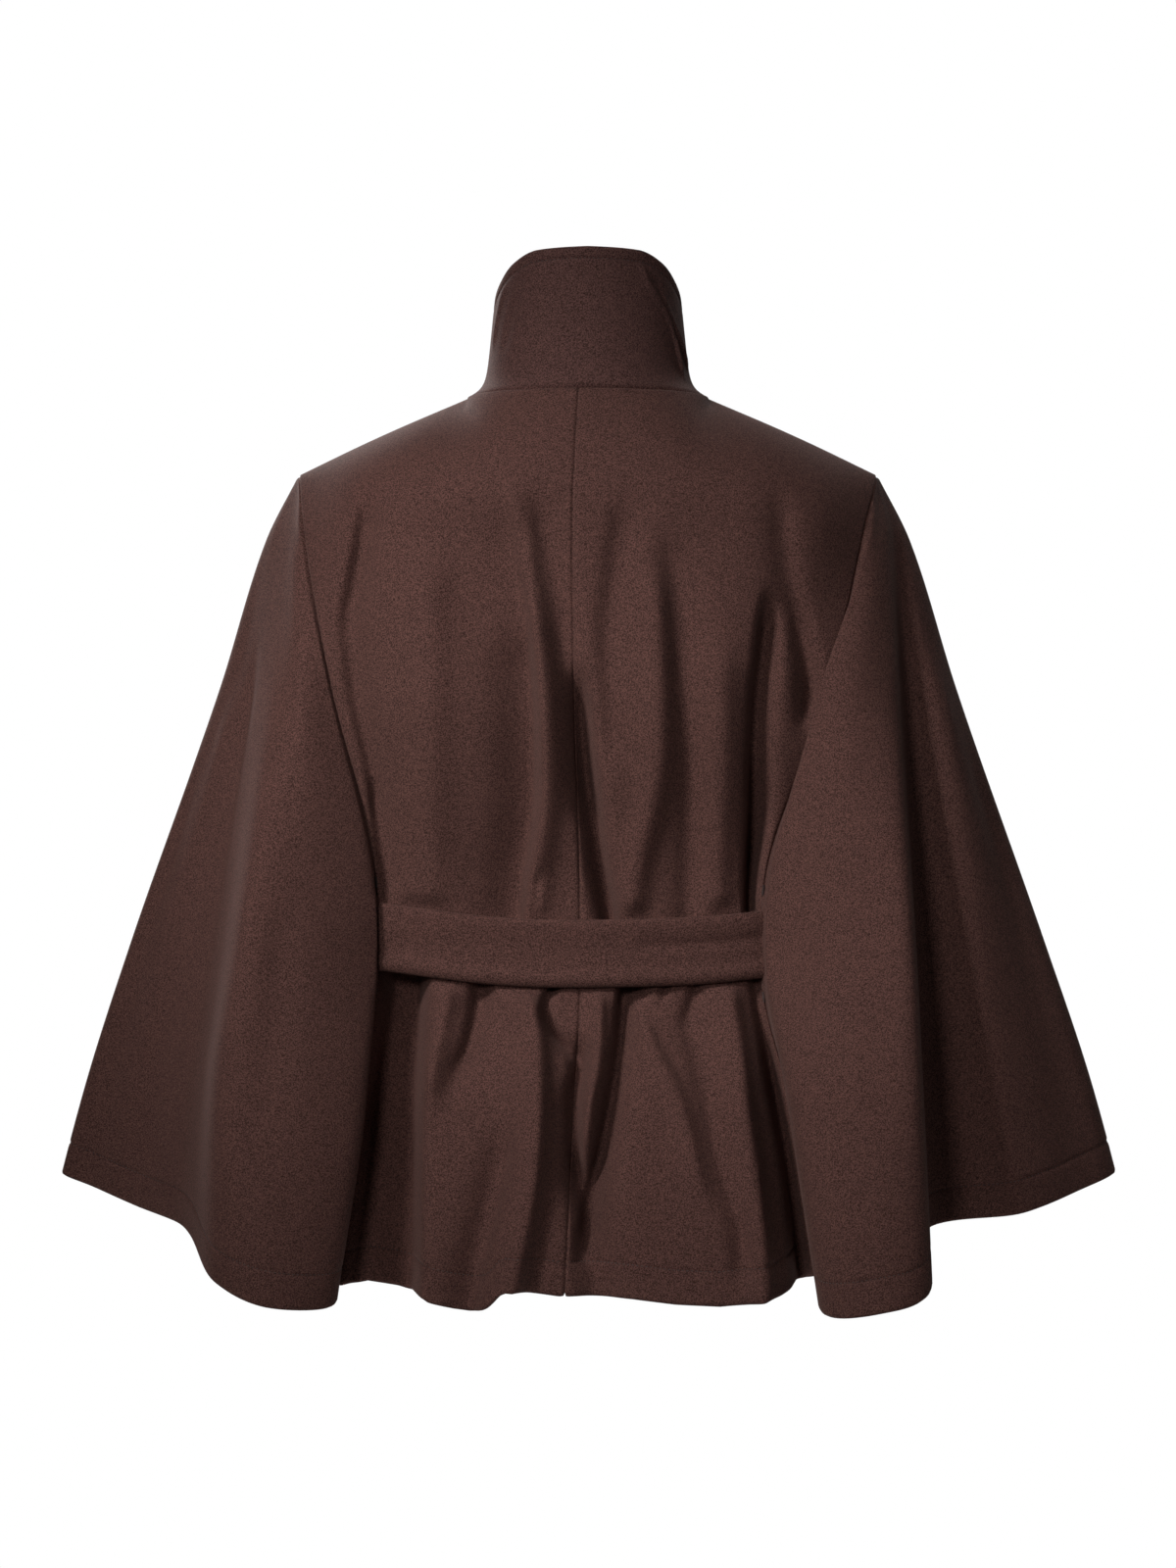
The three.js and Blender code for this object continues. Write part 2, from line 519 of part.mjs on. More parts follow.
// The knot: a rounded block in front of the belt.
function knotGeometry(centre) {
  const power = (v) => Math.sign(v) * Math.abs(v) ** KNOT.square;
  const points = [];
  for (let j = 1; j < KNOT.down; j += 1) {
    const tilt = (Math.PI * j) / KNOT.down;
    for (let i = 0; i < KNOT.around; i += 1) {
      const turn = (2 * Math.PI * i) / KNOT.around;
      const wide = power(Math.sin(tilt));
      points.push(new THREE.Vector3(
        centre.x + KNOT.halfWidth * wide * power(Math.cos(turn)),
        centre.y + KNOT.halfDepth * wide * power(Math.sin(turn)),
        centre.z + KNOT.halfHeight * power(Math.cos(tilt)),
      ));
    }
  }
  const top = points.push(new THREE.Vector3(centre.x, centre.y, centre.z + KNOT.halfHeight)) - 1;
  const bottom = points.push(new THREE.Vector3(centre.x, centre.y, centre.z - KNOT.halfHeight)) - 1;
  const faces = [];
  const ring = (j, i) => j * KNOT.around + (i % KNOT.around);
  const lastRing = KNOT.down - 2;
  for (let i = 0; i < KNOT.around; i += 1) {
    faces.push([top, ring(0, i), ring(0, i + 1)]);
    faces.push([bottom, ring(lastRing, i + 1), ring(lastRing, i)]);
    for (let j = 0; j < lastRing; j += 1) {
      faces.push([ring(j, i), ring(j + 1, i), ring(j + 1, i + 1)]);
      faces.push([ring(j, i), ring(j + 1, i + 1), ring(j, i + 1)]);
    }
  }
  return solidGeometry(points, faces);
}

// A belt end that hangs from the knot and lies on the fronts' cloth, moved out.
function tailGrid(tail, topZ, front) {
  const surface = (x, z) => {
    const line = front.map((column) => {
      const heights = column.map((point) => point.z);
      const at = (axis) => through(heights, column.map((point) => point[axis]), z);
      return { x: at("x"), y: at("y") };
    });
    const i = Math.min(Math.max(line.findIndex((point) => point.x < x), 1), line.length - 1);
    const part = (x - line[i].x) / (line[i - 1].x - line[i].x);
    return line[i].y + (line[i - 1].y - line[i].y) * part;
  };
  return spread(0.5, -0.5, TAIL_COLUMNS).map((across) => spread(0, 1, TAIL_ROWS).map((down) => {
    const opened = smooth(down * 3);
    const x = tail.topX + (tail.endX - tail.topX) * down ** 0.8
      + across * (tail.topWidth + (tail.width - tail.topWidth) * opened);
    const z = topZ + (tail.endZ - topZ) * down;
    const lift = tail.lift + TAIL_WALL + TAIL_RISE * (1 - smooth(down * 4));
    return new THREE.Vector3(x, surface(Math.abs(x), z) + lift, z);
  }));
}

function clothMaterial(colour) {
  return new THREE.MeshStandardMaterial({ color: colour, roughness: 0.92, metalness: 0 });
}
const WOOL = clothMaterial(0x47302b);
const WOOL_BELT = clothMaterial(0x442f2a);

const backRight = backPanel(BACK_RIGHT, 1);
const backLeft = backPanel(BACK_LEFT, -1);
const frontRight = frontPanel(1);
const frontLeft = frontPanel(-1);
const capeRight = capePanel(CAPE_RIGHT, 1, backRight[backRight.length - 1], frontRight[0]);
const capeLeft = capePanel(CAPE_LEFT, -1, backLeft[backLeft.length - 1], frontLeft[0]);

// Every grid runs the same way round the wearer, so that its faces point out.
const panels = {
  back_left: backLeft.slice().reverse(),
  back_right: backRight,
  cape_right: capeRight,
  front_right: frontRight,
  front_left: frontLeft.slice().reverse(),
  cape_left: capeLeft.slice().reverse(),
};
const neckAngle = (column) => {
  const { x, y } = column[0];
  return THREE.MathUtils.radToDeg(Math.atan2(x / NECK.halfWidth, -y / (y < 0 ? NECK.back : NECK.front)));
};
const isOnNeck = (column) => Math.abs(column[0].x) <= NECK.halfWidth + 0.01;
const onNeck = (grid) => grid.filter(isOnNeck).map(neckAngle);
const collarAngles = [
  ...onNeck(panels.front_left),
  ...onNeck(panels.back_left).slice(1),
  ...onNeck(panels.back_right).slice(1),
  ...onNeck(panels.front_right).slice(1),
];
const collar = collarGrid(collarAngles);
const normalAt = sharedNormals([...Object.values(panels), collar]);
const normalsOf = (grid) => grid.map((column) => column.map((point) => normalAt.get(placeKey(point))));

// The cape's top edge takes the seam's normals at its ends, as it has no points there.
function capeNormals(name, apexColumn) {
  const normals = normalsOf(panels[name]);
  const last = normals.length - 1;
  const apex = normals[apexColumn][0];
  const [start, end] = [normals[0][0], normals[last][0]];
  return normals.map((column, c) => {
    const before = start.clone().lerp(apex, c / apexColumn).normalize();
    const after = apex.clone().lerp(end, (c - apexColumn) / (last - apexColumn)).normalize();
    return [c < apexColumn ? before : after, ...column.slice(1)];
  });
}

const group = new THREE.Group();
function addSolid(name, geometry, material) {
  const mesh = new THREE.Mesh(geometry, material);
  mesh.name = name;
  group.add(mesh);
}

const apexOf = (grid) => grid.findIndex((column) => Math.abs(column[0].y) < 1e-6);
Object.entries(panels).forEach(([name, grid]) => {
  const cape = name.startsWith("cape");
  const normals = cape ? capeNormals(name, apexOf(grid)) : normalsOf(grid);
  addSolid(name, sheetGeometry(grid, normals, CLOTH_WALL), WOOL);
});
addSolid("collar", sheetGeometry(collar, normalsOf(collar), COLLAR_WALL), WOOL);

addSolid("belt", beltGeometry(beltLine(panels)), WOOL_BELT);
const frontmost = Math.max(...frontRight.map((column) => column[BAND_ROW].y));
const knotY = frontmost + REST_GAP + BELT_WALL + REST_GAP + KNOT.halfDepth;
const knotCentre = new THREE.Vector3(0, knotY, BELT.rightZ);
addSolid("belt_knot", knotGeometry(knotCentre), WOOL_BELT);
Object.entries(TAILS).forEach(([name, tail]) => {
  const topZ = BELT.rightZ - KNOT.halfHeight + TAIL_TUCK;
  const grid = tailGrid(tail, topZ, frontRight);
  addSolid(name, sheetGeometry(grid, gridNormals(grid), TAIL_WALL), WOOL_BELT);
});

export default group;
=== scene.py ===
import math

import bpy
import numpy as np
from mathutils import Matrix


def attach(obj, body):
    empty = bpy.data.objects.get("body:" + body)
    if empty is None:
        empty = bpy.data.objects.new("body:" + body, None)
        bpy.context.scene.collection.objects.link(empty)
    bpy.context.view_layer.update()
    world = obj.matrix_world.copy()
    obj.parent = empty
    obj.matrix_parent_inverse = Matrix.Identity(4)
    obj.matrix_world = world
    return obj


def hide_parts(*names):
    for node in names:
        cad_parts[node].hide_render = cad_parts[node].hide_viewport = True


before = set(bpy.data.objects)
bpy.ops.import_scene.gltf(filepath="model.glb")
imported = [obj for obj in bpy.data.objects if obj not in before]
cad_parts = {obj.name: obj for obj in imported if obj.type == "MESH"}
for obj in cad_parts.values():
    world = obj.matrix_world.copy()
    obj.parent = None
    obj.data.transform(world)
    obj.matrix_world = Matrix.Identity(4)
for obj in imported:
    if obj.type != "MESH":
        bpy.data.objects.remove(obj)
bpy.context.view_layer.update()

# Camera
# Level with the middle of the jacket and straight behind it, 3.3 m away, with the
# photograph's frame of 1200 by 1600 pixels.
PHOTO_HEIGHT = 1600
FOCAL_PIXELS = 4452
SENSOR = 36
CAMERA_PLACE = (0, -3.3, -0.294)
camera_data = bpy.data.cameras.new("camera")
camera_data.sensor_width = SENSOR
camera_data.lens = SENSOR * FOCAL_PIXELS / PHOTO_HEIGHT
camera = bpy.data.objects.new("camera", camera_data)
camera.location = CAMERA_PLACE
camera.rotation_euler = (math.radians(90), 0, 0)
bpy.context.collection.objects.link(camera)
bpy.context.scene.camera = camera

# Back panels
# Two panels of dark brown coating wool, sewn at the centre back, from the neckline
# and the shoulder seams to the hem. The belt holds them in; above and below it the
# cloth falls in long soft folds. Sizes are millimetres; +X is the wearer's right.
MM = 0.001
WALL = 2.5
CENTRE_BACK = -7
NECK = {"half": 91, "back": 80, "front": 68, "side_drop": 2.7, "front_drop": 41, "curve": 1.3}
NECK_LAST = 171
SHOULDER = {"x": (91, 163, 219), "z": (-2.7, -34.5, -61), "round": 85}
LEVELS = {"chest": -110, "blade": -220, "hip": -520, "low": -665}
BELT_BAND = 27
# How far from the band's edge ridges rise, and from the belt's middle valleys close.
BELT_HOLD = {"inset": 2, "fade": 14, "valley": 22}
BELT_MIDDLE = {"centre": -419, "left": (-406, 157), "right": (-412, 130)}
# Stations: place along the panel; x and y at chest, blade, belt, hip and low; the
# hem's height; how fully the cloth rounds over the shoulder.
BACK_RIGHT = [
    (0.0, (-11.5, -10.5, -6, -10, -17), (-119, -127, -94, -124, -160), -663, 0),
    (1.2, (42, 36, 32, 33, 36), (-118, -126, -93, -124, -161), -666, 0),
    (2.2, (84, 72, 64, 66, 72), (-113, -122, -90, -121, -162), -670, 0.3),
    (3.1, (126, 106, 94, 97, 108), (-108, -116, -86, -117, -160), -669, 0.9),
    (3.9, (168, 138, 117, 121, 136), (-92, -104, -80, -110, -152), -660, 1),
    (4.7, (205, 180, 130, 148, 173), (-56, -86, -76, -82, -108), -651, 1),
]
BACK_LEFT = [
    (0.0, (11.5, 10.5, 6, 10, 17), (-119, -127, -94, -124, -160), -663, 0),
    (1.2, (48, 46, 46, 50, 56), (-118, -126, -93, -124, -161), -661, 0),
    (2.2, (88, 84, 84, 90, 102), (-113, -122, -90, -121, -160), -675, 0.3),
    (3.1, (130, 120, 116, 122, 136), (-108, -116, -86, -114, -152), -664, 0.9),
    (3.9, (174, 154, 142, 148, 162), (-92, -106, -80, -104, -140), -658, 1),
    (4.7, (212, 190, 157, 170, 184), (-56, -92, -80, -88, -120), -660, 1),
]
# Folds: heights; x along the fold; depth out or in; half widths of its flanks.
BACK_FOLDS = [
    ((-108, -179, -294, -430), (-117, -117, -117, -118), 8, 28, 17),
    ((-79, -165, -251, -294, -323, -358, -430), (-52, -47, -43, -42, -44, -50, -55), -7, 30, 6),
    ((-172, -251, -294, -323, -358, -430), (-47, -42, -42, -44, -50, -55), -11, 26, 5),
    ((-65, -122, -179, -251, -294, -330, -366, -430), (-56, -49, -39, -32, -31, -34, -40, -44), 10, 5, 12),
    ((-65, -122, -165, -215, -258, -308, -337), (-39, -30, -22, -14, -9, -3, 0), -5, 12, 15),
    ((-151, -215, -258, -308, -337), (-23, -14, -9, -3, 0), -5, 10, 12),
    ((-201, -273, -319, -355, -394, -437), (-7, -2, 4, 9, 17, 24), -23, 9, 7),
    ((-72, -136, -187, -237, -294), (29, 21, 15, 16, 20), -7, 10, 14),
    ((-122, -179, -265, -308, -351, -401, -437), (49, 52, 52, 47, 37, 30, 26), 9, 12, 11),
    ((-101, -165, -244, -294, -351, -437), (59, 64, 73, 76, 76, 74), -8, 11, 17),
    ((-179, -265, -351, -437), (97, 98, 95, 92), 8, 18, 12),
    ((-144, -187, -237, -294, -351, -437), (133, 128, 122, 120, 120, 123), -22, 4.5, 12),
    ((-265, -308, -351, -437), (123, 122, 121, 123), -8, 3, 9),
    ((-65, -144, -179, -222, -273), (140, 148, 156, 163, 166), -7, 12, 8),
    ((-144, -179, -222, -273), (150, 156, 163, 166), -8, 9, 7),
    ((-65, -111, -151, -194), (-160, -165, -172, -179), -13, 7, 12),
    ((-151, -230, -273, -315, -401), (-178, -170, -161, -156, -152), -9, 7, 13),
    ((-409, -444, -480, -509, -545), (-102, -103, -109, -115, -118), 9, 9, 8),
    ((-409, -452, -480, -503, -530), (-78, -80, -85, -94, -102), -14, 7, 10),
    ((-401, -473, -545, -616, -702), (-125, -128, -130, -130, -132), -36, 38, 7),
    ((-401, -444, -480, -523, -566, -609, -652, -702), (-44, -42, -37, -36, -38, -44, -53, -60), 21, 19, 9),
    ((-530, -573, -613, -652, -702), (-56, -62, -72, -82, -89), -11, 16, 6),
    ((-466, -502, -527, -552, -581, -616), (-1, -5, -9, -9, -7, -4), -22, 8, 5),
    ((-545, -595, -627, -659, -724), (-7, -4, 2, 6, 7), -13, 13, 16),
    ((-409, -459, -487, -520, -545, -577), (9, 9, 8, 2, -2, -6), 9, 8, 4.5),
    ((-401, -441, -477, -520, -563, -609, -652), (29, 27, 24, 17, 8, -1, -6), -24, 5, 12),
    ((-409, -448, -480, -523, -563, -609), (21, 31, 45, 66, 77, 87), 7, 14, 6),
    ((-444, -516, -566, -609, -674), (67, 85, 95, 107, 113), -6, 8, 14),
    ((-401, -444, -480, -530, -581, -645, -724), (102, 105, 110, 115, 122, 128, 130), 12, 15, 7),
    ((-401, -444, -480, -523, -566, -609, -702), (126, 129, 134, 140, 148, 153, 158), -42, 6, 20),
]
# The shorter and finer creases on top of the folds.
BACK_CREASES = [
    ((-287, -323, -358, -394), (-160, -158, -155, -153), -6, 4, 5),
    ((-351, -380, -409), (-36, -40, -44), -6, 4, 5),
    ((-480, -545, -616, -702), (-118, -119, -119, -119), 3, 4, 16),
    ((-419, -443, -456, -470, -483, -503), (-17, -27, -32, -29, -19, -3), -14, 4, 5),
    ((-409, -441, -459, -480), (83, 80, 76, 69), -6, 5, 6),
    ((-409, -441, -462), (60, 57, 52), -5, 4, 5),
    ((-599, -624, -652), (112, 112, 113), -4, 5, 5),
]
# Hem line: x and height from the left cape's seam to the right one's.
BACK_HEM = (
    (-184, -160, -138, -116, -95, -85, -79, -74, -70, -66, -60, -42,
     -21, 0, 32, 63, 95, 116, 130, 140, 150, 161, 173),
    (-660, -656, -660, -667, -672, -673.5, -673, -670.5, -666, -661, -658.5, -660,
     -663, -663.6, -665, -668.5, -670, -668, -667, -664.5, -661, -657, -651),
)
# Millimetres over which folds and creases fade at their ends and beside a cape's seam.
FOLD_FADE = 42
CREASE_FADE = 18
SEAM_HOLD = 15
# The hem line moves the rows from this share of the way between belt and hem.
HEM_MOVE_FROM = 0.4
# Degrees round the neck at the second station, and cells up to the neck point and past.
SECOND_ANGLE = 35
BACK_CELLS = (42, 48)


def smooth(t):
    """Zero below 0, one above 1, and 3t^2 - 2t^3 between."""
    t = np.clip(t, 0, 1)
    return t * t * (3 - 2 * t)


def bell(away, width):
    """One at zero, falling as exp(-(away / width)^2)."""
    return np.exp(-(away / width) ** 2)


def unit(ways):
    """Vectors divided by their lengths."""
    return ways / np.linalg.norm(ways, axis=-1, keepdims=True)


def down_curve(heights, values, z):
    """Cubic through values at falling heights, slopes by the harmonic mean of their
    neighbours so that it never overshoots, and straight past both ends."""
    h, v, z = (np.asarray(a, float) for a in (heights, values, z))
    step = h[:-1] - h[1:]
    slope = np.diff(v) / step
    agree = slope[:-1] * slope[1:] > 0
    total = np.where(agree, slope[:-1] + slope[1:], 1)
    inner = np.where(agree, 2 * slope[:-1] * slope[1:] / total, 0)
    tangent = np.concatenate([slope[:1], inner, slope[-1:]])
    i = np.clip(np.searchsorted(-h, -z, side="right") - 1, 0, len(step) - 1)
    u = np.clip((h[i] - z) / step[i], 0, 1)
    w = 1 - u
    curve = (1 + 2 * u) * w * w * v[i] + u * w * w * step[i] * tangent[i]
    curve += u * u * (3 - 2 * u) * v[i + 1] - u * u * w * step[i] * tangent[i + 1]
    above, below = np.maximum(z - h[0], 0), np.maximum(h[-1] - z, 0)
    return curve - above * tangent[0] + below * tangent[-1]


def blend_lines(knots, lines, s):
    """Lines of points (K, R, 3) at uneven knots blended at the places s: a cubic in s
    whose slope at a knot is the mean of its spans' slopes, weighted by the other span."""
    k, lines = np.asarray(knots, float), np.asarray(lines, float)
    step = np.diff(k)[:, None, None]
    slope = np.diff(lines, axis=0) / step
    middle = (slope[:-1] * step[1:] + slope[1:] * step[:-1]) / (step[:-1] + step[1:])
    tangent = np.concatenate([slope[:1], middle, slope[-1:]])
    i = np.clip(np.searchsorted(k, s, side="right") - 1, 0, len(step) - 1)
    u = ((s - k[i]) / step[i, 0, 0])[:, None, None]
    w, span = 1 - u, step[i]
    curve = (1 + 2 * u) * w * w * lines[i] + u * w * w * span * tangent[i]
    return curve + u * u * (3 - 2 * u) * lines[i + 1] - u * u * w * span * tangent[i + 1]


def neckline(degrees):
    """Points of the neck seam: an oval round the neck that dips to the front."""
    turn = np.abs(degrees)
    angle = np.radians(turn)
    depth = np.where(turn < 90, NECK["back"], NECK["front"])
    drop = NECK["side_drop"] * np.minimum(1, turn / 90) ** 2
    forward = np.clip((turn - 90) / (NECK_LAST - 90), 0, 1)
    drop = drop + NECK["front_drop"] * forward ** NECK["curve"]
    x = NECK["half"] * np.sin(angle) * np.sign(degrees)
    return np.stack([x, -depth * np.cos(angle), -drop], axis=-1)


def shoulder_seam(part, side):
    """Points of the shoulder seam from the neck point, part 0, to the tip, part 1."""
    near, _, tip = SHOULDER["x"]
    x = near + (tip - near) * np.asarray(part, float)
    z = down_curve([-v for v in SHOULDER["x"]], SHOULDER["z"], -x)
    return np.stack([side * x, 0 * x, z], axis=-1)


# Rows down a panel: by shares of the way to the belt, over the band and below it,
# and then by millimetres above the hem, close together at the seam and the stitches.
SEAM_PART = 0.008
TOP_SHARES = (0, 0.001, 0.0025, 0.0045, SEAM_PART, 0.012)
HEM_STITCH = 24.4
HEM_ZONE = 34
HEM_ROWS = (31, 28.6, 27, 26, 25.2, HEM_STITCH, 23.6, 22.6, 20.6, 17, 13, 9, 6, 4, 2.6)
ROWS = np.concatenate([
    np.stack([0 * np.array(TOP_SHARES), TOP_SHARES], axis=1),
    [(0, share) for share in np.linspace(0.0165, 1, 94)],
    [(1, share) for share in np.linspace(0, 1, 15)[1:]],
    [(2, share) for share in np.linspace(0, 1, 45)[1:]],
    [(3, distance) for distance in HEM_ROWS],
])
BAND_ROW = int(np.flatnonzero((ROWS[:, 0] == 1) & (np.abs(ROWS[:, 1] - 0.5) < 1e-6))[0])
SEAM_ROW = TOP_SHARES.index(SEAM_PART)
TOP_FADE = ((0, SEAM_PART, 0.035, 0.089, 0.154, 0.227, 0.307), (0, 1, 2, 3, 4, 5, 6))


def belt_middle(x):
    """Height of the belt's middle line over the back: a parabola to each end."""
    x = np.asarray(x, float)
    left, right = BELT_MIDDLE["left"], BELT_MIDDLE["right"]
    rise_left = (left[0] - BELT_MIDDLE["centre"]) * (x / left[1]) ** 2
    rise_right = (right[0] - BELT_MIDDLE["centre"]) * (x / right[1]) ** 2
    return BELT_MIDDLE["centre"] + np.where(x < 0, rise_left, rise_right)


def row_heights(top, belt_z, hem, rows):
    """Heights of the rows on one line, from its top over the belt's band to the hem."""
    zone, at = rows[:, 0], rows[:, 1]
    start = rows[0, 1]
    band_top, band_low, hem_top = belt_z + BELT_BAND, belt_z - BELT_BAND, hem + HEM_ZONE
    return np.select(
        [zone == 0, zone == 1, zone == 2],
        [
            top + (band_top - top) * (at - start) / (1 - start),
            band_top - 2 * BELT_BAND * at,
            band_low + (hem_top - band_low) * at,
        ],
        hem + at,
    )


def station_line(station, top, belt_z, side, rows):
    """One station's points: x by its curve down the heights, y from the top edge out
    to the station's own curve by the share of the shoulder's rounding."""
    _, xs, ys, hem, fullness = station
    z = row_heights(top[2], belt_z, hem, rows)
    chest, blade, hip, low = LEVELS.values()
    held = [chest, blade, belt_z + BELT_BAND, belt_z - BELT_BAND, hip, low]
    twice = [0, 1, 2, 2, 3, 4]
    x = down_curve([top[2], *held], [side * top[0], *np.array(xs)[twice]], z)
    far = down_curve(held, np.array(ys)[twice], z)
    q = np.clip((top[2] - z) / SHOULDER["round"], 0, 1)
    ease = (1 - fullness) * q * (2 - q) + fullness * np.sqrt(q * (2 - q))
    return np.stack([side * x, top[1] + (far - top[1]) * ease, z], axis=-1)


# Places in an end cell, as shares of it, that make the rim's own rows narrow.
END_CELL = np.array([0.1, 0.24, 0.42, 0.68])


def cells(start, end, count, first=True, last=True):
    """Evenly spaced places, with a graded set in the first and the last cell."""
    even = np.linspace(start, end, count + 1)
    near = (even[1] - even[0]) * END_CELL
    extra = [start + near] * first + [end - near] * last
    return np.sort(np.concatenate([even, *extra]))


# How the top edge's move is taken up: the spread of each share of it along the panel,
# and how far down it goes.
TOP_MOVES = ((0.05, 0.016), (0.13, 0.045), (0.45, 0.13))


def panel_points(knots, lines, places, top_edge, rows):
    """Blended station lines whose first row is moved onto the top edge, and the next
    rows less and less; the sharper a part of that move, as at the neck point, the
    sooner it ends."""
    points = blend_lines(knots, lines, places)
    on_top = rows[:, 0] == 0
    far = on_top * (1 - smooth(np.interp(rows[:, 1], *TOP_FADE) / TOP_FADE[1][-1]))
    rest, moved = top_edge - points[:, 0], 0
    for spread, reach in TOP_MOVES:
        weight = bell(places[:, None] - places, spread) * np.gradient(places)
        soft = weight @ rest / weight.sum(axis=1, keepdims=True)
        near = on_top * (1 - smooth(rows[:, 1] / reach))
        moved = moved + (rest - soft)[:, None] * near[:, None]
        rest = soft
    return points + moved + rest[:, None] * far[:, None]


# The neck point's softening: the spread of the mean, how far along the panel it
# reaches, and the shares of the way down where it starts, is full, ends and is gone.
CORNER = {"spread": 0.3, "reach": 0.55, "rows": (0.01, 0.035, 0.14, 0.3)}


def soften_corner(points, places, corner, rows):
    """Points near the neck point, below the seam's own rows, moved to their weighted
    mean along the panel, so that its shape turns there without an edge."""
    weight = bell(places[:, None] - places, CORNER["spread"]) * np.gradient(places)
    soft = np.tensordot(weight / weight.sum(axis=1, keepdims=True), points, 1)
    start, full, hold, end = CORNER["rows"]
    share = (rows[:, 0] == 0) * smooth((rows[:, 1] - start) / (full - start))
    share = share * (1 - smooth((rows[:, 1] - hold) / (end - hold)))
    near = bell(places - corner, CORNER["reach"])
    return points + (soft - points) * (near[:, None] * share)[..., None]


def fold_lift(folds, x, z, fade_length):
    """Sum of the folds at each point: depth times a bell across, fading at both ends."""
    lift = 0 * x
    for heights, xs, depth, left, right in folds:
        ends = smooth((heights[0] - z) / fade_length) * smooth((z - heights[-1]) / fade_length)
        away = x - down_curve(heights, xs, z)
        lift += depth * ends * bell(away, np.where(away < 0, left, right))
    return lift


def held_lift(lift, z, belt_z):
    """Folds held by the belt: ridges are pressed flat under it, and valleys run on
    below its edges and close at its middle."""
    away = np.abs(z - belt_z)
    ridges = smooth((away - BELT_BAND + BELT_HOLD["inset"]) / BELT_HOLD["fade"])
    return lift * np.where(lift > 0, ridges, smooth(away / BELT_HOLD["valley"]))


def back_panel(stations, side):
    """Points of a back panel from the centre back seam to the cape's seam."""
    knots = [station[0] for station in stations]
    neck_end, tip = knots[2], knots[-1]
    start = math.degrees(math.asin(CENTRE_BACK / NECK["half"])) * side

    def top_edge(s):
        angle = down_curve([0, -knots[1], -neck_end], [start, SECOND_ANGLE, 90], -s)
        on_neck = neckline(side * angle)
        on_shoulder = shoulder_seam((s - neck_end) / (tip - neck_end), side)
        return np.where((s > neck_end)[:, None], on_shoulder, on_neck)

    tops = top_edge(np.array(knots))
    lines = [
        station_line(station, top, belt_middle(side * station[1][2]), side, ROWS)
        for station, top in zip(stations, tops)
    ]
    places = np.unique(np.concatenate([
        cells(0, neck_end, BACK_CELLS[0], last=False),
        cells(neck_end, tip, BACK_CELLS[1], first=False),
    ]))
    points = panel_points(knots, lines, places, top_edge(places), ROWS)
    points = soften_corner(points, places, neck_end, ROWS)
    hem = np.interp(points[:, -1, 0], *BACK_HEM) + HEM_ROWS[-1]
    zone, at = ROWS[:, 0], ROWS[:, 1]
    growing = smooth((at - HEM_MOVE_FROM) / (1 - HEM_MOVE_FROM))
    share = np.where(zone == 3, 1, np.where(zone == 2, growing, 0))
    points[..., 2] += (hem - points[:, -1, 2])[:, None] * share
    x, z = points[..., 0], points[..., 2]
    lift = fold_lift(BACK_FOLDS, x, z, FOLD_FADE) + fold_lift(BACK_CREASES, x, z, CREASE_FADE)
    held = held_lift(lift, z, belt_middle(points[:, BAND_ROW, 0])[:, None])
    points[..., 1] -= held * smooth(np.abs(x - x[-1]) / SEAM_HOLD)
    return points


def grid_normals(points):
    """Unit normals from the differences down and across the grid, out of the cloth."""
    down = np.gradient(points, axis=1)
    across = np.gradient(points, axis=0)
    return unit(np.cross(down, across))


# The way into the body: level and mostly forward or back low down, and from 80 mm over
# this height also down and more to the middle.
INWARD = {"from": -140, "over": 80, "side": 0.2, "side_top": 0.5, "down": 60}


def into_body(points):
    """Unit directions from a seam into the garment, for the turned-in allowance."""
    top = smooth((points[..., 2] - INWARD["from"]) / INWARD["over"])
    side = -(INWARD["side"] + INWARD["side_top"] * top) * points[..., 0]
    return unit(np.stack([side, -points[..., 1], -INWARD["down"] * top], axis=-1))


# Seams and stitch lines sink by these depths, over these half widths. A seam's rim is
# turned in by its allowance, and the cloth is double below the hem's stitch line.
SEAM_DIP = 1.5
NECK_DIP = 2.2
SEAM_REACH = 1.2
SEAM_TURN = 5
STITCH_SINK = 0.9
STITCH_REACH = 1.3
HEM_WALL = 4.6
HEM_STEP = 2.5


def edge_distance(points, axis, index):
    """Distance along the grid from one of its edges, in millimetres."""
    steps = np.linalg.norm(np.diff(points, axis=axis), axis=-1)
    total = np.cumsum(steps, axis=axis)
    pad = [(0, 0), (0, 0)]
    pad[axis] = (1, 0)
    total = np.pad(total, pad)
    end = np.take(total, [-1], axis=axis)
    return total if index == 0 else end - total


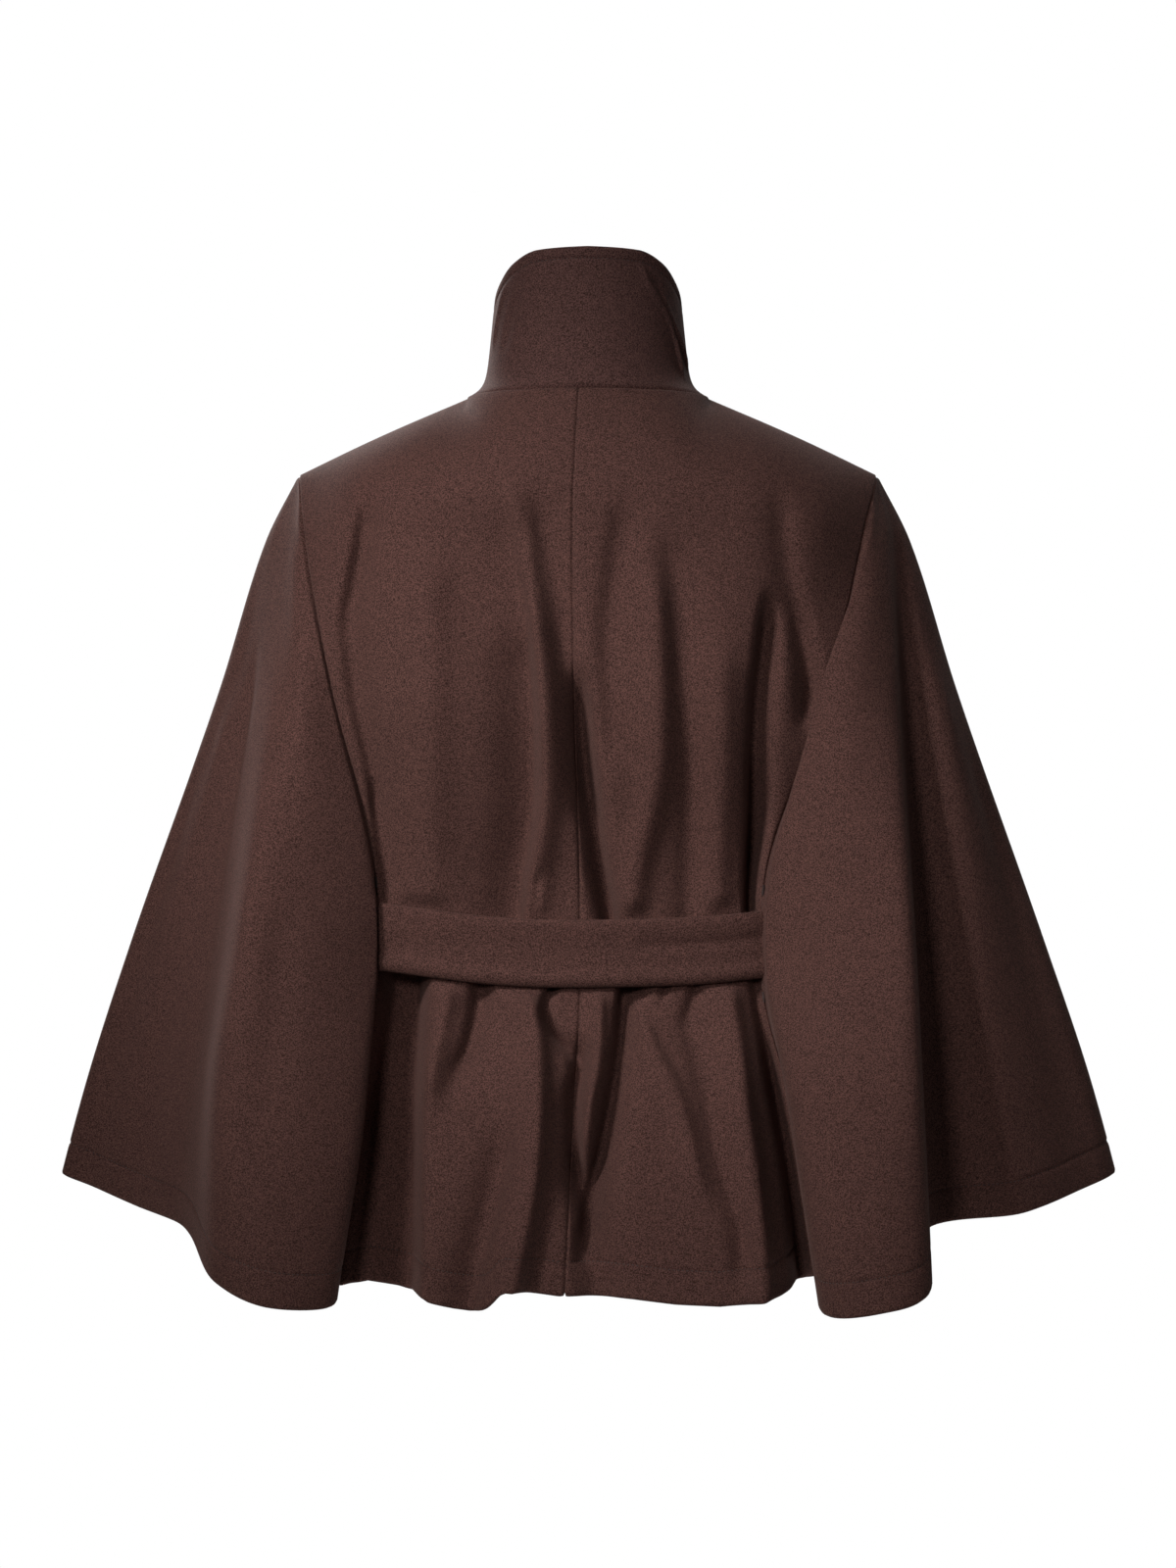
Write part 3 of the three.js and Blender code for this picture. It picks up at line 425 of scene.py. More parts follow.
def cloth_shell(points, wall, seams):
    """A closed sheet: the points outside, the same moved in by the wall inside, and
    rings round the rim, turned in at seams and in a half circle at free edges.
    seams names the grid edges that are sewn: first, last, top, low."""
    count, depth = points.shape[:2]
    normal = grid_normals(points)
    outer, inner = points.copy(), points - normal * wall[..., None]
    columns, rows = np.arange(count), np.arange(depth)
    c, r = np.meshgrid(columns, rows, indexing="ij")
    edges = {"first": c == 0, "last": c == count - 1, "top": r == 0, "low": r == depth - 1}
    sewn = np.zeros((count, depth), bool)
    for name in seams:
        sewn |= edges[name]
    inner[sewn] = outer[sewn] + into_body(outer[sewn]) * SEAM_TURN
    rim_c = np.concatenate([0 * rows[1:], columns[:-1], 0 * rows[1:] + count - 1, columns[:0:-1]])
    rim_r = np.concatenate([rows[:-1], 0 * columns[1:] + depth - 1, rows[:0:-1], 0 * columns[1:]])
    near_c, near_r = np.clip(rim_c, 1, count - 2), np.clip(rim_r, 1, depth - 2)
    away = unit(outer[rim_c, rim_r] - outer[near_c, near_r])
    half = (outer[rim_c, rim_r] - inner[rim_c, rim_r]) / 2
    bulge = np.linalg.norm(half, axis=-1) * ~sewn[rim_c, rim_r]
    middle = (outer[rim_c, rim_r] + inner[rim_c, rim_r]) / 2
    turns = np.radians([45, 90, 135])[:, None, None]
    rings = middle + np.cos(turns) * half + np.sin(turns) * away * bulge[:, None]
    size, rim = count * depth, len(rim_c)
    index = c * depth + r
    a, b, d, e = index[:-1, :-1], index[:-1, 1:], index[1:, 1:], index[1:, :-1]
    faces = [np.stack([a, b, d, e], axis=-1), size + np.stack([a, e, d, b], axis=-1)]
    edge = rim_c * depth + rim_r
    loops = np.stack([edge, *(2 * size + np.arange(rim) + rim * k for k in range(3)), size + edge])
    now, after = loops, np.roll(loops, -1, axis=1)
    faces.append(np.stack([after[:-1], now[:-1], now[1:], after[1:]], axis=-1))
    vertices = np.concatenate([outer.reshape(-1, 3), inner.reshape(-1, 3), rings.reshape(-1, 3)])
    return vertices, np.concatenate([f.reshape(-1, 4) for f in faces])


def mesh_piece(name, vertices, faces, material):
    """Puts points in millimetres and faces of equal size into a smooth mesh object."""
    mesh = bpy.data.meshes.new(name)
    faces = np.asarray(faces)
    mesh.vertices.add(len(vertices))
    mesh.vertices.foreach_set("co", (np.asarray(vertices) * MM).astype(np.float32).ravel())
    mesh.loops.add(faces.size)
    mesh.loops.foreach_set("vertex_index", faces.astype(np.int32).ravel())
    mesh.polygons.add(len(faces))
    mesh.polygons.foreach_set("loop_start", np.arange(0, faces.size, faces.shape[1], dtype=np.int32))
    mesh.update(calc_edges=True)
    mesh.validate()
    mesh.shade_smooth()
    mesh.materials.append(material)
    piece = bpy.data.objects.new(name, mesh)
    bpy.context.collection.objects.link(piece)
    return piece


# Noises: scale in waves a metre, detail and roughness. Then their shares of the colour,
# the roughness and the height.
HEATHER_NOISES = {
    "fibre": (1150, 2, 0.6),
    "mottle": (420, 1, 0.5),
    "cloud": (22, 2, 0.5),
    "nap": (1800, 2, 0.6),
}
FLECKS = {"fibre": 4.0, "mottle": 0.35, "cloud": 0.12}
ROUGH, ROUGH_LEAST = {"mottle": 0.12}, 0.84
NAP = {"fibre": 0.6, "nap": 0.4}


def wool_heather():
    """Shader group of heathered wool: fine flecks of light and dark fibre over a soft
    mottle give the colour, and the flecks with a finer nap give the height."""
    group = bpy.data.node_groups.new("wool_heather", "ShaderNodeTree")
    for name, way, kind in (
        ("Dark", "INPUT", "Color"),
        ("Light", "INPUT", "Color"),
        ("Color", "OUTPUT", "Color"),
        ("Roughness", "OUTPUT", "Float"),
        ("Height", "OUTPUT", "Float"),
    ):
        group.interface.new_socket(name, in_out=way, socket_type="NodeSocket" + kind)
    nodes, links = group.nodes, group.links
    given, made = nodes.new("NodeGroupInput"), nodes.new("NodeGroupOutput")
    place = nodes.new("ShaderNodeTexCoord")

    def noise(scale, detail, rough):
        node = nodes.new("ShaderNodeTexNoise")
        node.inputs["Scale"].default_value = scale
        node.inputs["Detail"].default_value = detail
        node.inputs["Roughness"].default_value = rough
        links.new(place.outputs["Object"], node.inputs["Vector"])
        return node.outputs["Fac"]

    def math_node(operation, *values):
        node = nodes.new("ShaderNodeMath")
        node.operation = operation
        for i, value in enumerate(values):
            if isinstance(value, (int, float)):
                node.inputs[i].default_value = value
            else:
                links.new(value, node.inputs[i])
        return node.outputs[0]

    noises = {name: noise(*sizes) for name, sizes in HEATHER_NOISES.items()}

    def weighted(shares, start):
        total = start
        for name, share in shares.items():
            total = math_node("MULTIPLY_ADD", noises[name], share, total)
        return total

    mix = nodes.new("ShaderNodeMix")
    mix.data_type = "RGBA"
    colour = weighted(FLECKS, 0.5 - sum(FLECKS.values()) / 2)
    for value, socket in ((colour, 0), (given.outputs["Dark"], 6), (given.outputs["Light"], 7)):
        links.new(value, mix.inputs[socket])
    links.new(mix.outputs[2], made.inputs["Color"])
    links.new(weighted(ROUGH, ROUGH_LEAST), made.inputs["Roughness"])
    links.new(weighted(NAP, 0.0), made.inputs["Height"])
    return group


HEATHER = wool_heather()


def new_material(name, **settings):
    """A material, its nodes, links and shader, with the shader's sockets set; a
    socket's name has underscores for its spaces."""
    material = bpy.data.materials.new(name)
    material.use_nodes = True
    nodes, links = material.node_tree.nodes, material.node_tree.links
    shader = nodes["Principled BSDF"]
    for socket, value in settings.items():
        shader.inputs[socket.replace("_", " ")].default_value = value
    return material, nodes, links, shader


SHEEN = {"Sheen_Weight": 0.12, "Sheen_Roughness": 0.45, "Sheen_Tint": (0.66, 0.42, 0.36, 1)}
NAP_HEIGHT = 0.0006
NAP_STRENGTH = 0.6


def wool(name, dark, light):
    """Wool finish: the heather group on a rough cloth with a soft sheen."""
    material, nodes, links, shader = new_material(name, Specular_IOR_Level=0.16, **SHEEN)
    heather = nodes.new("ShaderNodeGroup")
    heather.node_tree = HEATHER
    heather.inputs["Dark"].default_value = (*dark, 1)
    heather.inputs["Light"].default_value = (*light, 1)
    bump = nodes.new("ShaderNodeBump")
    bump.inputs["Strength"].default_value = NAP_STRENGTH
    bump.inputs["Distance"].default_value = NAP_HEIGHT
    links.new(heather.outputs["Color"], shader.inputs["Base Color"])
    links.new(heather.outputs["Roughness"], shader.inputs["Roughness"])
    links.new(heather.outputs["Height"], bump.inputs["Height"])
    links.new(bump.outputs["Normal"], shader.inputs["Normal"])
    return material


WOOL = wool("wool", dark=(0.026, 0.0112, 0.0092), light=(0.132, 0.0605, 0.0495))


def above_hem(points):
    """Height of each point of a panel above the hem's edge under it."""
    return points[..., 2] - points[:, -1:, 2] + HEM_ROWS[-1]


def hem_wall(points):
    """Wall of a panel: one layer of cloth, and two where the hem is turned up."""
    turned_up = 1 - smooth((above_hem(points) - HEM_STITCH) / HEM_STEP)
    return WALL + (HEM_WALL - WALL) * turned_up


# A panel's sewn edges: the grid's axis and index, and how deep the seam's dip is.
SEAMS = {"first": (0, 0, SEAM_DIP), "last": (0, -1, SEAM_DIP), "top": (1, 0, NECK_DIP)}


def sewn_panel(name, points, seams):
    """Makes a panel's mesh: seams and the hem's stitch line pulled in, walls, rims."""
    stitched = STITCH_SINK * bell(above_hem(points) - HEM_STITCH, STITCH_REACH)
    seamed = 0 * stitched
    for axis, index, depth in (SEAMS[seam] for seam in seams):
        seamed += depth * bell(edge_distance(points, axis, index), SEAM_REACH)
    sunk = points - grid_normals(points) * stitched[..., None]
    sunk = sunk + into_body(points) * seamed[..., None]
    piece = mesh_piece(name, *cloth_shell(sunk, hem_wall(points), seams), WOOL)
    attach(piece, "root")
    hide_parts(name.removesuffix("_cloth"))


back_right = back_panel(BACK_RIGHT, 1)
back_left = back_panel(BACK_LEFT, -1)[::-1]
ALL_SEWN = ("first", "last", "top")
sewn_panel("back_right_cloth", back_right, ALL_SEWN)
sewn_panel("back_left_cloth", back_left, ALL_SEWN)

# Fronts
# Two panels from the capes' seams to the middle, the wearer's right one lapped over
# the left one. They hang from the shoulders and the neck seam, and the belt ties them.
# Stations and folds are listed as the back's are.
FRONT = [
    (0.0, (207, 168, 134, 148, 168), (56, 92, 76, 82, 104), -652, 1),
    (0.8, (168, 136, 118, 122, 136), (92, 108, 78, 104, 140), -656, 1),
    (1.6, (130, 110, 98, 100, 110), (104, 120, 86, 114, 148), -662, 0.9),
    (2.5, (88, 76, 68, 70, 76), (106, 126, 90, 118, 152), -664, 0.3),
    (3.5, (52, 40, 32, 32, 34), (104, 124, 93, 120, 154), -662, 0),
    (4.5, (2, -20, -30, -30, -30), (105, 125, 93, 120, 154), -660, 0),
]
FRONT_FOLDS = [
    ((-120, -200, -300, -430), (104, 92, 78, 66), 9, 20, 12),
    ((-150, -240, -320, -430), (124, 112, 98, 88), -12, 8, 14),
    ((-210, -290, -360, -430), (58, 52, 46, 42), -7, 12, 8),
    ((-250, -330, -430), (30, 32, 34), 5, 10, 9),
    ((-405, -480, -560, -700), (80, 86, 92, 100), 11, 16, 12),
    ((-405, -480, -560, -700), (104, 112, 120, 128), -16, 8, 14),
    ((-405, -460, -520, -600), (50, 56, 64, 72), -10, 8, 7),
    ((-405, -480, -590, -700), (20, 26, 34, 40), 6, 14, 12),
]
FRONT_CREASES = [
    ((-300, -350, -410), (48, 44, 38), -5, 5, 6),
    ((-120, -170, -220), (96, 98, 96), -3, 9, 9),
    ((-405, -450, -500), (66, 70, 78), -5, 5, 7),
    ((-405, -440, -480), (30, 36, 44), -5, 5, 6),
]
# The lap: how far out, from which x and over which width, and full by which row.
LAP = {"out": 2.6, "from": 60, "over": 28, "row": 4}
BELT_FRONT = -412
FRONT_CELLS = (35, 28)


def front_panel(side):
    """Points of a front from the cape's seam to the front edge."""
    knots = [station[0] for station in FRONT]
    neck_start, end = knots[3], knots[-1]

    def top_edge(s):
        angle = 90 + (NECK_LAST - 90) * (s - neck_start) / (end - neck_start)
        on_shoulder = shoulder_seam(1 - s / neck_start, side)
        return np.where((s < neck_start)[:, None], on_shoulder, neckline(side * angle))

    tops = top_edge(np.array(knots))
    lines = [
        station_line(station, top, BELT_FRONT, side, ROWS) for station, top in zip(FRONT, tops)
    ]
    places = np.unique(np.concatenate([
        cells(0, neck_start, FRONT_CELLS[0], last=False),
        cells(neck_start, end, FRONT_CELLS[1], first=False),
    ]))
    points = panel_points(knots, lines, places, top_edge(places), ROWS)
    points = soften_corner(points, places, neck_start, ROWS)
    x, z = side * points[..., 0], points[..., 2]
    down = np.where(ROWS[:, 0] > 0, 1, smooth(np.interp(ROWS[:, 1], *TOP_FADE) / LAP["row"]))
    lap = side * LAP["out"] * smooth((LAP["from"] - x) / LAP["over"]) * down[None, :]
    lift = fold_lift(FRONT_FOLDS, x, z, FOLD_FADE) + fold_lift(FRONT_CREASES, x, z, CREASE_FADE)
    held = held_lift(lift, z, BELT_FRONT) * smooth(np.abs(x - x[0]) / SEAM_HOLD)
    points[..., 1] += lap * (places > 0)[:, None] + held
    return points


front_right = front_panel(1)
front_left = front_panel(-1)[::-1]
sewn_panel("front_right_cloth", front_right, ("first", "top"))
sewn_panel("front_left_cloth", front_left, ("last", "top"))

# Cape sides
# Each cape is one wide panel sewn between the back's and the front's seams. From the
# shoulder tip it flares to the hem in a deep ridge beside the seam, a broad wing and
# an outer edge, and the belt passes under it through slits in its seams.
CAPE_FRONT = [
    (6.4, (238, 260, 296, 316, 340), (12, 36, 60, 68, 74), -606),
    (7.4, (230, 242, 256, 264, 274), (24, 54, 84, 96, 106), -622),
    (8.2, (224, 228, 238, 246, 256), (36, 80, 130, 152, 176), -650),
    (8.9, (217, 200, 186, 196, 212), (44, 98, 124, 154, 190), -662),
    (9.6, (211, 174, 143, 155, 175), (51, 96, 94, 130, 168), -664),
]
CAPE_RIGHT = [
    (0.8, (211, 173, 137, 148, 167), (-50, -94, -95, -152, -192), -673),
    (1.5, (217, 196, 180, 192, 206), (-43, -99, -132, -180, -222), -668),
    (2.2, (224, 225, 232, 237, 243), (-34, -80, -147, -178, -206), -657),
    (3.0, (230, 236, 243, 246, 252), (-22, -48, -80, -94, -110), -622),
    (4.0, (238, 258, 290, 308, 330), (-12, -36, -62, -72, -80), -611),
    (5.2, (243.5, 278, 345, 381, 419), (0, 0, 0, 0, 0), -588),
    *CAPE_FRONT,
]
CAPE_LEFT = [
    (0.8, (215, 194, 160, 164, 184), (-50, -95, -96, -136, -190), -668),
    (1.5, (219, 212, 205, 214, 230), (-43, -97, -126, -166, -214), -664),
    (2.2, (224, 230, 248, 263, 268), (-34, -78, -136, -164, -190), -650),
    (3.0, (232, 246, 270, 285, 296), (-22, -52, -88, -104, -114), -624),
    (4.0, (239, 261, 302, 324, 348), (-12, -24, -34, -32, -30), -610),
    (5.2, (243.5, 278, 345, 381, 419), (0, 2, 8, 12, 14), -590),
    *CAPE_FRONT,
]
CAPE_TIP, CAPE_END = 5.2, 10.4
CAPE_CELLS = (78, 70)
CAPE_FADE = 70
# At a slit the cape stands off: how far, at which height, how far past the belt's band
# it starts to close, over which height, and how far along the panel it reaches.
SLIT = {"lift": 8, "middle": -412, "from": 3, "fade": 8, "reach": 0.85}
# Soft undulations: heights; places along the panel; depth; half width in places.
CAPE_WAVES_RIGHT = [
    ((-150, -300, -480, -680), (3.3, 3.2, 3.2, 3.3), -3.5, 0.28, 0.3),
    ((-180, -330, -520, -680), (4.2, 4.1, 4.0, 4.0), 4, 0.35, 0.35),
    ((-240, -400, -680), (4.75, 4.7, 4.6), -3, 0.22, 0.22),
    ((-260, -420, -680), (6.0, 6.0, 6.1), -4, 0.35, 0.35),
    ((-200, -380, -680), (7.0, 6.9, 6.8), 4, 0.35, 0.35),
    ((-330, -450, -560), (1.9, 1.85, 1.85), -2.5, 0.16, 0.16),
]
CAPE_WAVES_LEFT = [
    ((-170, -320, -500, -680), (3.4, 3.4, 3.3, 3.3), -3.5, 0.3, 0.28),
    ((-200, -360, -520, -680), (4.1, 4.2, 4.2, 4.1), 4, 0.35, 0.3),
    ((-260, -420, -680), (4.8, 4.7, 4.65), -3, 0.2, 0.24),
    ((-240, -400, -680), (6.1, 6.0, 5.9), -4, 0.3, 0.35),
    ((-220, -400, -680), (7.1, 6.9, 6.9), 4, 0.3, 0.35),
    ((-350, -470, -580), (1.8, 1.75, 1.8), -2.5, 0.16, 0.16),
]
CAPE_ROWS = ROWS[SEAM_ROW:]


def on_line(at, along, line):
    """Points of a line at the places at, where along rises with the line's points."""
    return np.stack([np.interp(at, along, line[:, k]) for k in range(3)], axis=-1)


def cape_station(station, top, belt_z, side):
    """One cape station's points, x and y by their curves from the top edge down."""
    _, xs, ys, hem = station
    z = row_heights(top[2], belt_z, hem, CAPE_ROWS)
    heights = [top[2], LEVELS["chest"], LEVELS["blade"], belt_z, LEVELS["hip"], LEVELS["low"]]
    x = down_curve(heights, [side * top[0], *xs], z)
    return np.stack([side * x, down_curve(heights, [top[1], *ys], z), z], axis=-1)


def cape_panel(stations, waves, side, back_seam, front_seam):
    """Points of a cape from the back's seam over its outer edge to the front's seam."""
    knots = [0, *(station[0] for station in stations), CAPE_END]
    ends = np.array([back_seam[SEAM_ROW], back_seam[0], front_seam[SEAM_ROW]])

    def top_edge(s):
        return on_line(s, [0, CAPE_TIP, CAPE_END], ends)

    belts = np.interp(knots, [0, CAPE_END], [back_seam[BAND_ROW, 2], front_seam[BAND_ROW, 2]])
    tops = top_edge(np.array(knots))
    lines = [cape_station(*row, side) for row in zip(stations, tops[1:], belts[1:])]
    lines = [back_seam[SEAM_ROW:], *lines, front_seam[SEAM_ROW:]]
    places = np.unique(np.concatenate([
        cells(0, CAPE_TIP, CAPE_CELLS[0], last=False),
        cells(CAPE_TIP, CAPE_END, CAPE_CELLS[1], first=False),
    ]))
    points = blend_lines(knots, lines, places)
    faded = smooth((np.interp(CAPE_ROWS[:, 1], *TOP_FADE) - 1) / TOP_FADE[1][-1])
    fade = np.where(CAPE_ROWS[:, 0] > 0, 0, 1 - faded)
    points = points + (top_edge(places) - points[:, 0])[:, None, :] * fade[None, :, None]
    z = points[..., 2]
    wave = fold_lift(waves, np.broadcast_to(places[:, None], z.shape), z, CAPE_FADE)
    direction = grid_normals(points) * side
    points += direction * wave[..., None]
    open_slit = 1 - smooth((np.abs(z - SLIT["middle"]) - BELT_BAND - SLIT["from"]) / SLIT["fade"])
    back_lift = 1 - smooth(places / SLIT["reach"])
    front_lift = 1 - smooth((CAPE_END - places) / SLIT["reach"])
    points[..., 1] += SLIT["lift"] * (front_lift - back_lift)[:, None] * open_slit
    return points


cape_right = cape_panel(CAPE_RIGHT, CAPE_WAVES_RIGHT, 1, back_right[-1], front_right[0])
cape_left = cape_panel(CAPE_LEFT, CAPE_WAVES_LEFT, -1, back_left[0], front_left[-1])[::-1]
for name, cape, held_by in (
    ("cape_right_cloth", cape_right, ["back_right", "front_right"]),
    ("cape_left_cloth", cape_left, ["back_left", "front_left"]),
):
    sewn_panel(name, cape, ALL_SEWN)

# Collar
# A tall standing collar of doubled wool, sewn to the neckline and stitched 7 mm below
# its top edge. It leans in a little, and a few soft slanting wrinkles cross it.
# The top edge: degrees round the neck from the centre back, and heights.
COLLAR_TOP = ((0, 35, 55, 75, 95, 125, 171), (103, 101.5, 94, 80, 66, 48, 34))
COLLAR = {
    "side": 78, "lean": 0.1, "flare": 13, "flare_height": 6, "back_in": 13,
    "back_height": 30, "open": 0.09, "open_from": 60, "open_over": 110,
}
COLLAR_WALL = 4
COLLAR_STITCH = 7
COLLAR_STITCH_REACH = 1.2
# Rows: millimetres below the top edge, and then shares of the rest down to the seam.
COLLAR_MARGINS = (0, 1, 2.4, 4, 5.6, 6.3, COLLAR_STITCH, 7.7, 8.4, 10, 13)
COLLAR_LOW = np.concatenate([np.linspace(0, 1, 24)[1:-1] ** 0.9, [0.985, 0.993, 0.997, 1]])
COLLAR_CELLS = 160
WRINKLE_FADE = 14
# Wrinkles: heights over the seam; angles round the neck; depth; half widths in degrees.
COLLAR_WRINKLES = [
    ((98, 78, 59, 36, 8), (32, 40, 54, 62, 67), 2.6, 1.5, 2.6),
    ((88, 72, 50, 30), (44, 52, 60, 67), -1.4, 3, 3),
    ((82, 66, 50, 34, 14), (50, 55, 63, 73, 80), 2.2, 1.5, 2.4),
    ((86, 70, 50, 30), (-60, -67, -72, -74), 1.3, 3, 3),
    ((74, 50, 26), (-48, -54, -58), -1.2, 4, 4),
    ((60, 38, 18), (118, 108, 100), -1.6, 4, 5),
    ((56, 34, 14), (-112, -104, -98), -1.6, 4, 5),
    ((90, 60, 30), (-16, -12, -6), -0.7, 7, 7),
]


def collar_points():
    """Points over the neckline, drawn in with height, wide at the foot by the flare."""
    half = cells(0, NECK_LAST, COLLAR_CELLS, first=False)
    angles = np.concatenate([-half[:0:-1], half])
    foot = neckline(angles)
    turn = np.abs(angles)
    top = down_curve([-a for a in COLLAR_TOP[0]], COLLAR_TOP[1], -turn)
    height = (top - foot[:, 2])[:, None]
    margins = np.broadcast_to(COLLAR_MARGINS, (len(angles), len(COLLAR_MARGINS)))
    margin = COLLAR_MARGINS[-1] / height
    shares = margin + (1 - margin) * COLLAR_LOW
    h = np.maximum(height - np.concatenate([margins, shares * height], axis=1), 0)
    flare = COLLAR["flare"] * np.exp(-h / COLLAR["flare_height"])
    wide = (COLLAR["side"] - COLLAR["lean"] * h + flare) / (COLLAR["side"] + COLLAR["flare"])
    deep = 1 - (COLLAR["back_in"] / NECK["back"]) * (1 - np.exp(-h / COLLAR["back_height"]))
    forward = smooth((turn[:, None] - COLLAR["open_from"]) / COLLAR["open_over"])
    opening = 1 - COLLAR["open"] * (h / height) * forward
    at = neckline(angles[:, None] * opening)
    points = np.stack([at[..., 0] * wide, at[..., 1] * deep, foot[:, None, 2] + h], axis=-1)
    spread_angles = np.broadcast_to(angles[:, None], h.shape)
    wrinkle = fold_lift(COLLAR_WRINKLES, spread_angles, h, WRINKLE_FADE)
    return points + grid_normals(points) * wrinkle[..., None], h, height


collar_grid, collar_height, collar_full = collar_points()
collar_below = collar_height - collar_full
collar_sink = STITCH_SINK * bell(-collar_below - COLLAR_STITCH, COLLAR_STITCH_REACH)
collar_sink += NECK_DIP * bell(edge_distance(collar_grid, 1, -1), SEAM_REACH)
collar_sunk = collar_grid - grid_normals(collar_grid) * collar_sink[..., None]
collar_shell = cloth_shell(collar_sunk, np.full(collar_height.shape, COLLAR_WALL), ("low",))
WOOL_COLLAR = wool("wool_collar", dark=(0.025, 0.0112, 0.0096), light=(0.126, 0.0595, 0.051))
collar = mesh_piece("collar_cloth", *collar_shell, WOOL_COLLAR)
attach(collar, "root")
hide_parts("collar")

# Belt
# A band of the same wool, doubled and pressed to 50 mm. It runs flat over the back,
# through the slits in the seams, under both capes and out over the fronts.
BELT = {"height": 50, "wall": 4.5, "gap": 0.5, "step": 3.5, "crown": 0.5, "overlap": 8}
# Slight waves: height, and millimetres a radian along x or y, and a shift in radians.
BELT_WAVES = {"x": (0.35, 17, 0), "y": (0.25, 11, 1), "up": (0.4, 23, 0.5)}
# Points of the line under a cape, neighbours on each side that soften it, and points
# across a face of the belt and round its edge.
UNDER_POINTS = 60
BELT_SOFTEN = 3
FACE_POINTS, EDGE_POINTS = 19, 7
UNDER_CAPE_RIGHT = [(150, -64), (163, -36), (168, 0), (163, 36), (151, 63)]
UNDER_CAPE_LEFT = [(-172, -64), (-181, -36), (-182, 0), (-172, 36), (-153, 63)]
BELT_CREASE_FADE = 14
# Creases along the back: x from and to; height off the belt's middle; depth; half width.
BELT_CREASES = [
    (-400, 400, -18.5, 2.6, 4.5),
    (-400, 400, -8, -1.1, 5),
    (-400, 400, 20, 0.7, 4.5),
    (-150, 400, 2, -1.6, 9),
    (30, 160, 5, -1.6, 4),
    (-170, -100, 8, 0.9, 6),
    (-40, 60, -6, 0.5, 5),
]


def path_lengths(line):
    """Distance along a line of points to each of them."""
    return np.concatenate([[0], np.cumsum(np.linalg.norm(np.diff(line, axis=0), axis=1))])


def under_cape(start, places, end):
    """A smooth way through the places between two points, its height falling evenly."""
    z = np.linspace(start[2], end[2], len(places) + 2)[1:-1]
    points = np.array([start, *((x, y, h) for (x, y), h in zip(places, z)), end])
    knots = path_lengths(points)
    at = np.linspace(0, knots[-1], UNDER_POINTS)
    return blend_lines(knots, points[:, None, :], at)[1:-1, 0]


def even_steps(line, step):
    """A closed line's points put at even steps along it."""
    closed = np.concatenate([line, line[:1]])
    along = path_lengths(closed)
    at = np.linspace(0, along[-1], int(along[-1] / step) + 1)[:-1]
    return on_line(at, along, closed)


def belt_line():
    """The line on the cloth that the belt's middle follows all round the waist."""
    back = np.concatenate([back_left[:, BAND_ROW], back_right[1:, BAND_ROW]])
    right, left = front_right[:, BAND_ROW], front_left[:, BAND_ROW]
    left = left[left[:, 0] < right[-1, 0] - BELT["overlap"]]
    under_right = under_cape(back[-1], UNDER_CAPE_RIGHT, right[0])
    under_left = under_cape(back[0], UNDER_CAPE_LEFT, left[-1])
    line = np.concatenate([back, under_right, right, left, under_left[::-1]])
    line = even_steps(line, BELT["step"])
    near = range(-BELT_SOFTEN, BELT_SOFTEN + 1)
    return sum(np.roll(line, k, axis=0) for k in near) / len(near)


def slight_wave(name, along):
    """A sine of the distance along, with its height and its shift."""
    height, length, shift = BELT_WAVES[name]
    return height * np.sin(along / length + shift)


def belt_shell():
    """The belt's section, two flat faces with rolled edges, carried along its line."""
    line = belt_line()
    along = np.roll(line, -1, axis=0) - np.roll(line, 1, axis=0)
    out = unit(np.stack([along[:, 1], -along[:, 0], 0 * along[:, 0]], axis=-1))
    half, radius = BELT["height"] / 2, BELT["wall"] / 2
    face = np.linspace(-1, 1, FACE_POINTS) * (half - radius)
    roll = np.radians(np.linspace(0, 180, EDGE_POINTS)[1:-1])
    edge_up, edge_out = half - radius + radius * np.sin(roll), radius * np.cos(roll)
    up = np.concatenate([face, edge_up, face[::-1], -edge_up])
    depth = np.concatenate([0 * face + 2 * radius, radius + edge_out, 0 * face, radius - edge_out])
    x, y = line[:, None, 0], line[:, None, 1]
    wave = slight_wave("x", x) + slight_wave("y", y)
    outside = (depth > radius)[None, :]
    for start, end, height, lift, width in BELT_CREASES:
        ends = smooth((x - start) / BELT_CREASE_FADE) * smooth((end - x) / BELT_CREASE_FADE)
        wave = wave + outside * lift * ends * (y < 0) * bell(up - height, width)
    crown = outside * BELT["crown"] * (1 - (up / half) ** 2)
    lift = BELT["gap"] + depth[None, :] + crown + np.where(outside, wave, 0)
    points = line[:, None, :] + out[:, None, :] * lift[..., None]
    points[..., 2] += up[None, :] + slight_wave("up", x)
    rings, size = points.shape[:2]
    index = np.arange(rings * size).reshape(rings, size)
    a, b = index, np.roll(index, -1, axis=0)
    faces = np.stack([a, np.roll(a, -1, axis=1), np.roll(b, -1, axis=1), b], axis=-1)
    return points.reshape(-1, 3), faces.reshape(-1, 4)[:, ::-1]


WOOL_BELT = wool("wool_belt", dark=(0.025, 0.0108, 0.0089), light=(0.126, 0.0575, 0.047))
belt = mesh_piece("belt_cloth", *belt_shell(), WOOL_BELT)
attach(belt, "root")
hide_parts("belt")

# Knot
# The belt's ends are tied once in front: a wrap of doubled wool drawn tight round the
# band, with slanting creases that run into it from both sides.
KNOT = {"wide": 20, "deep": 9, "high": 33, "square": 0.6, "fade": 3, "around": 96, "down": 64}
# Creases in shares of the half width: place, slant, depth in millimetres, half width.
KNOT_CREASES = [
    (0.45, 0.35, -1.6, 0.16),
    (-0.1, 0.3, -2.2, 0.14),
    (-0.55, 0.2, -1.5, 0.18),
    (0.95, 0.3, -1.2, 0.2),
]


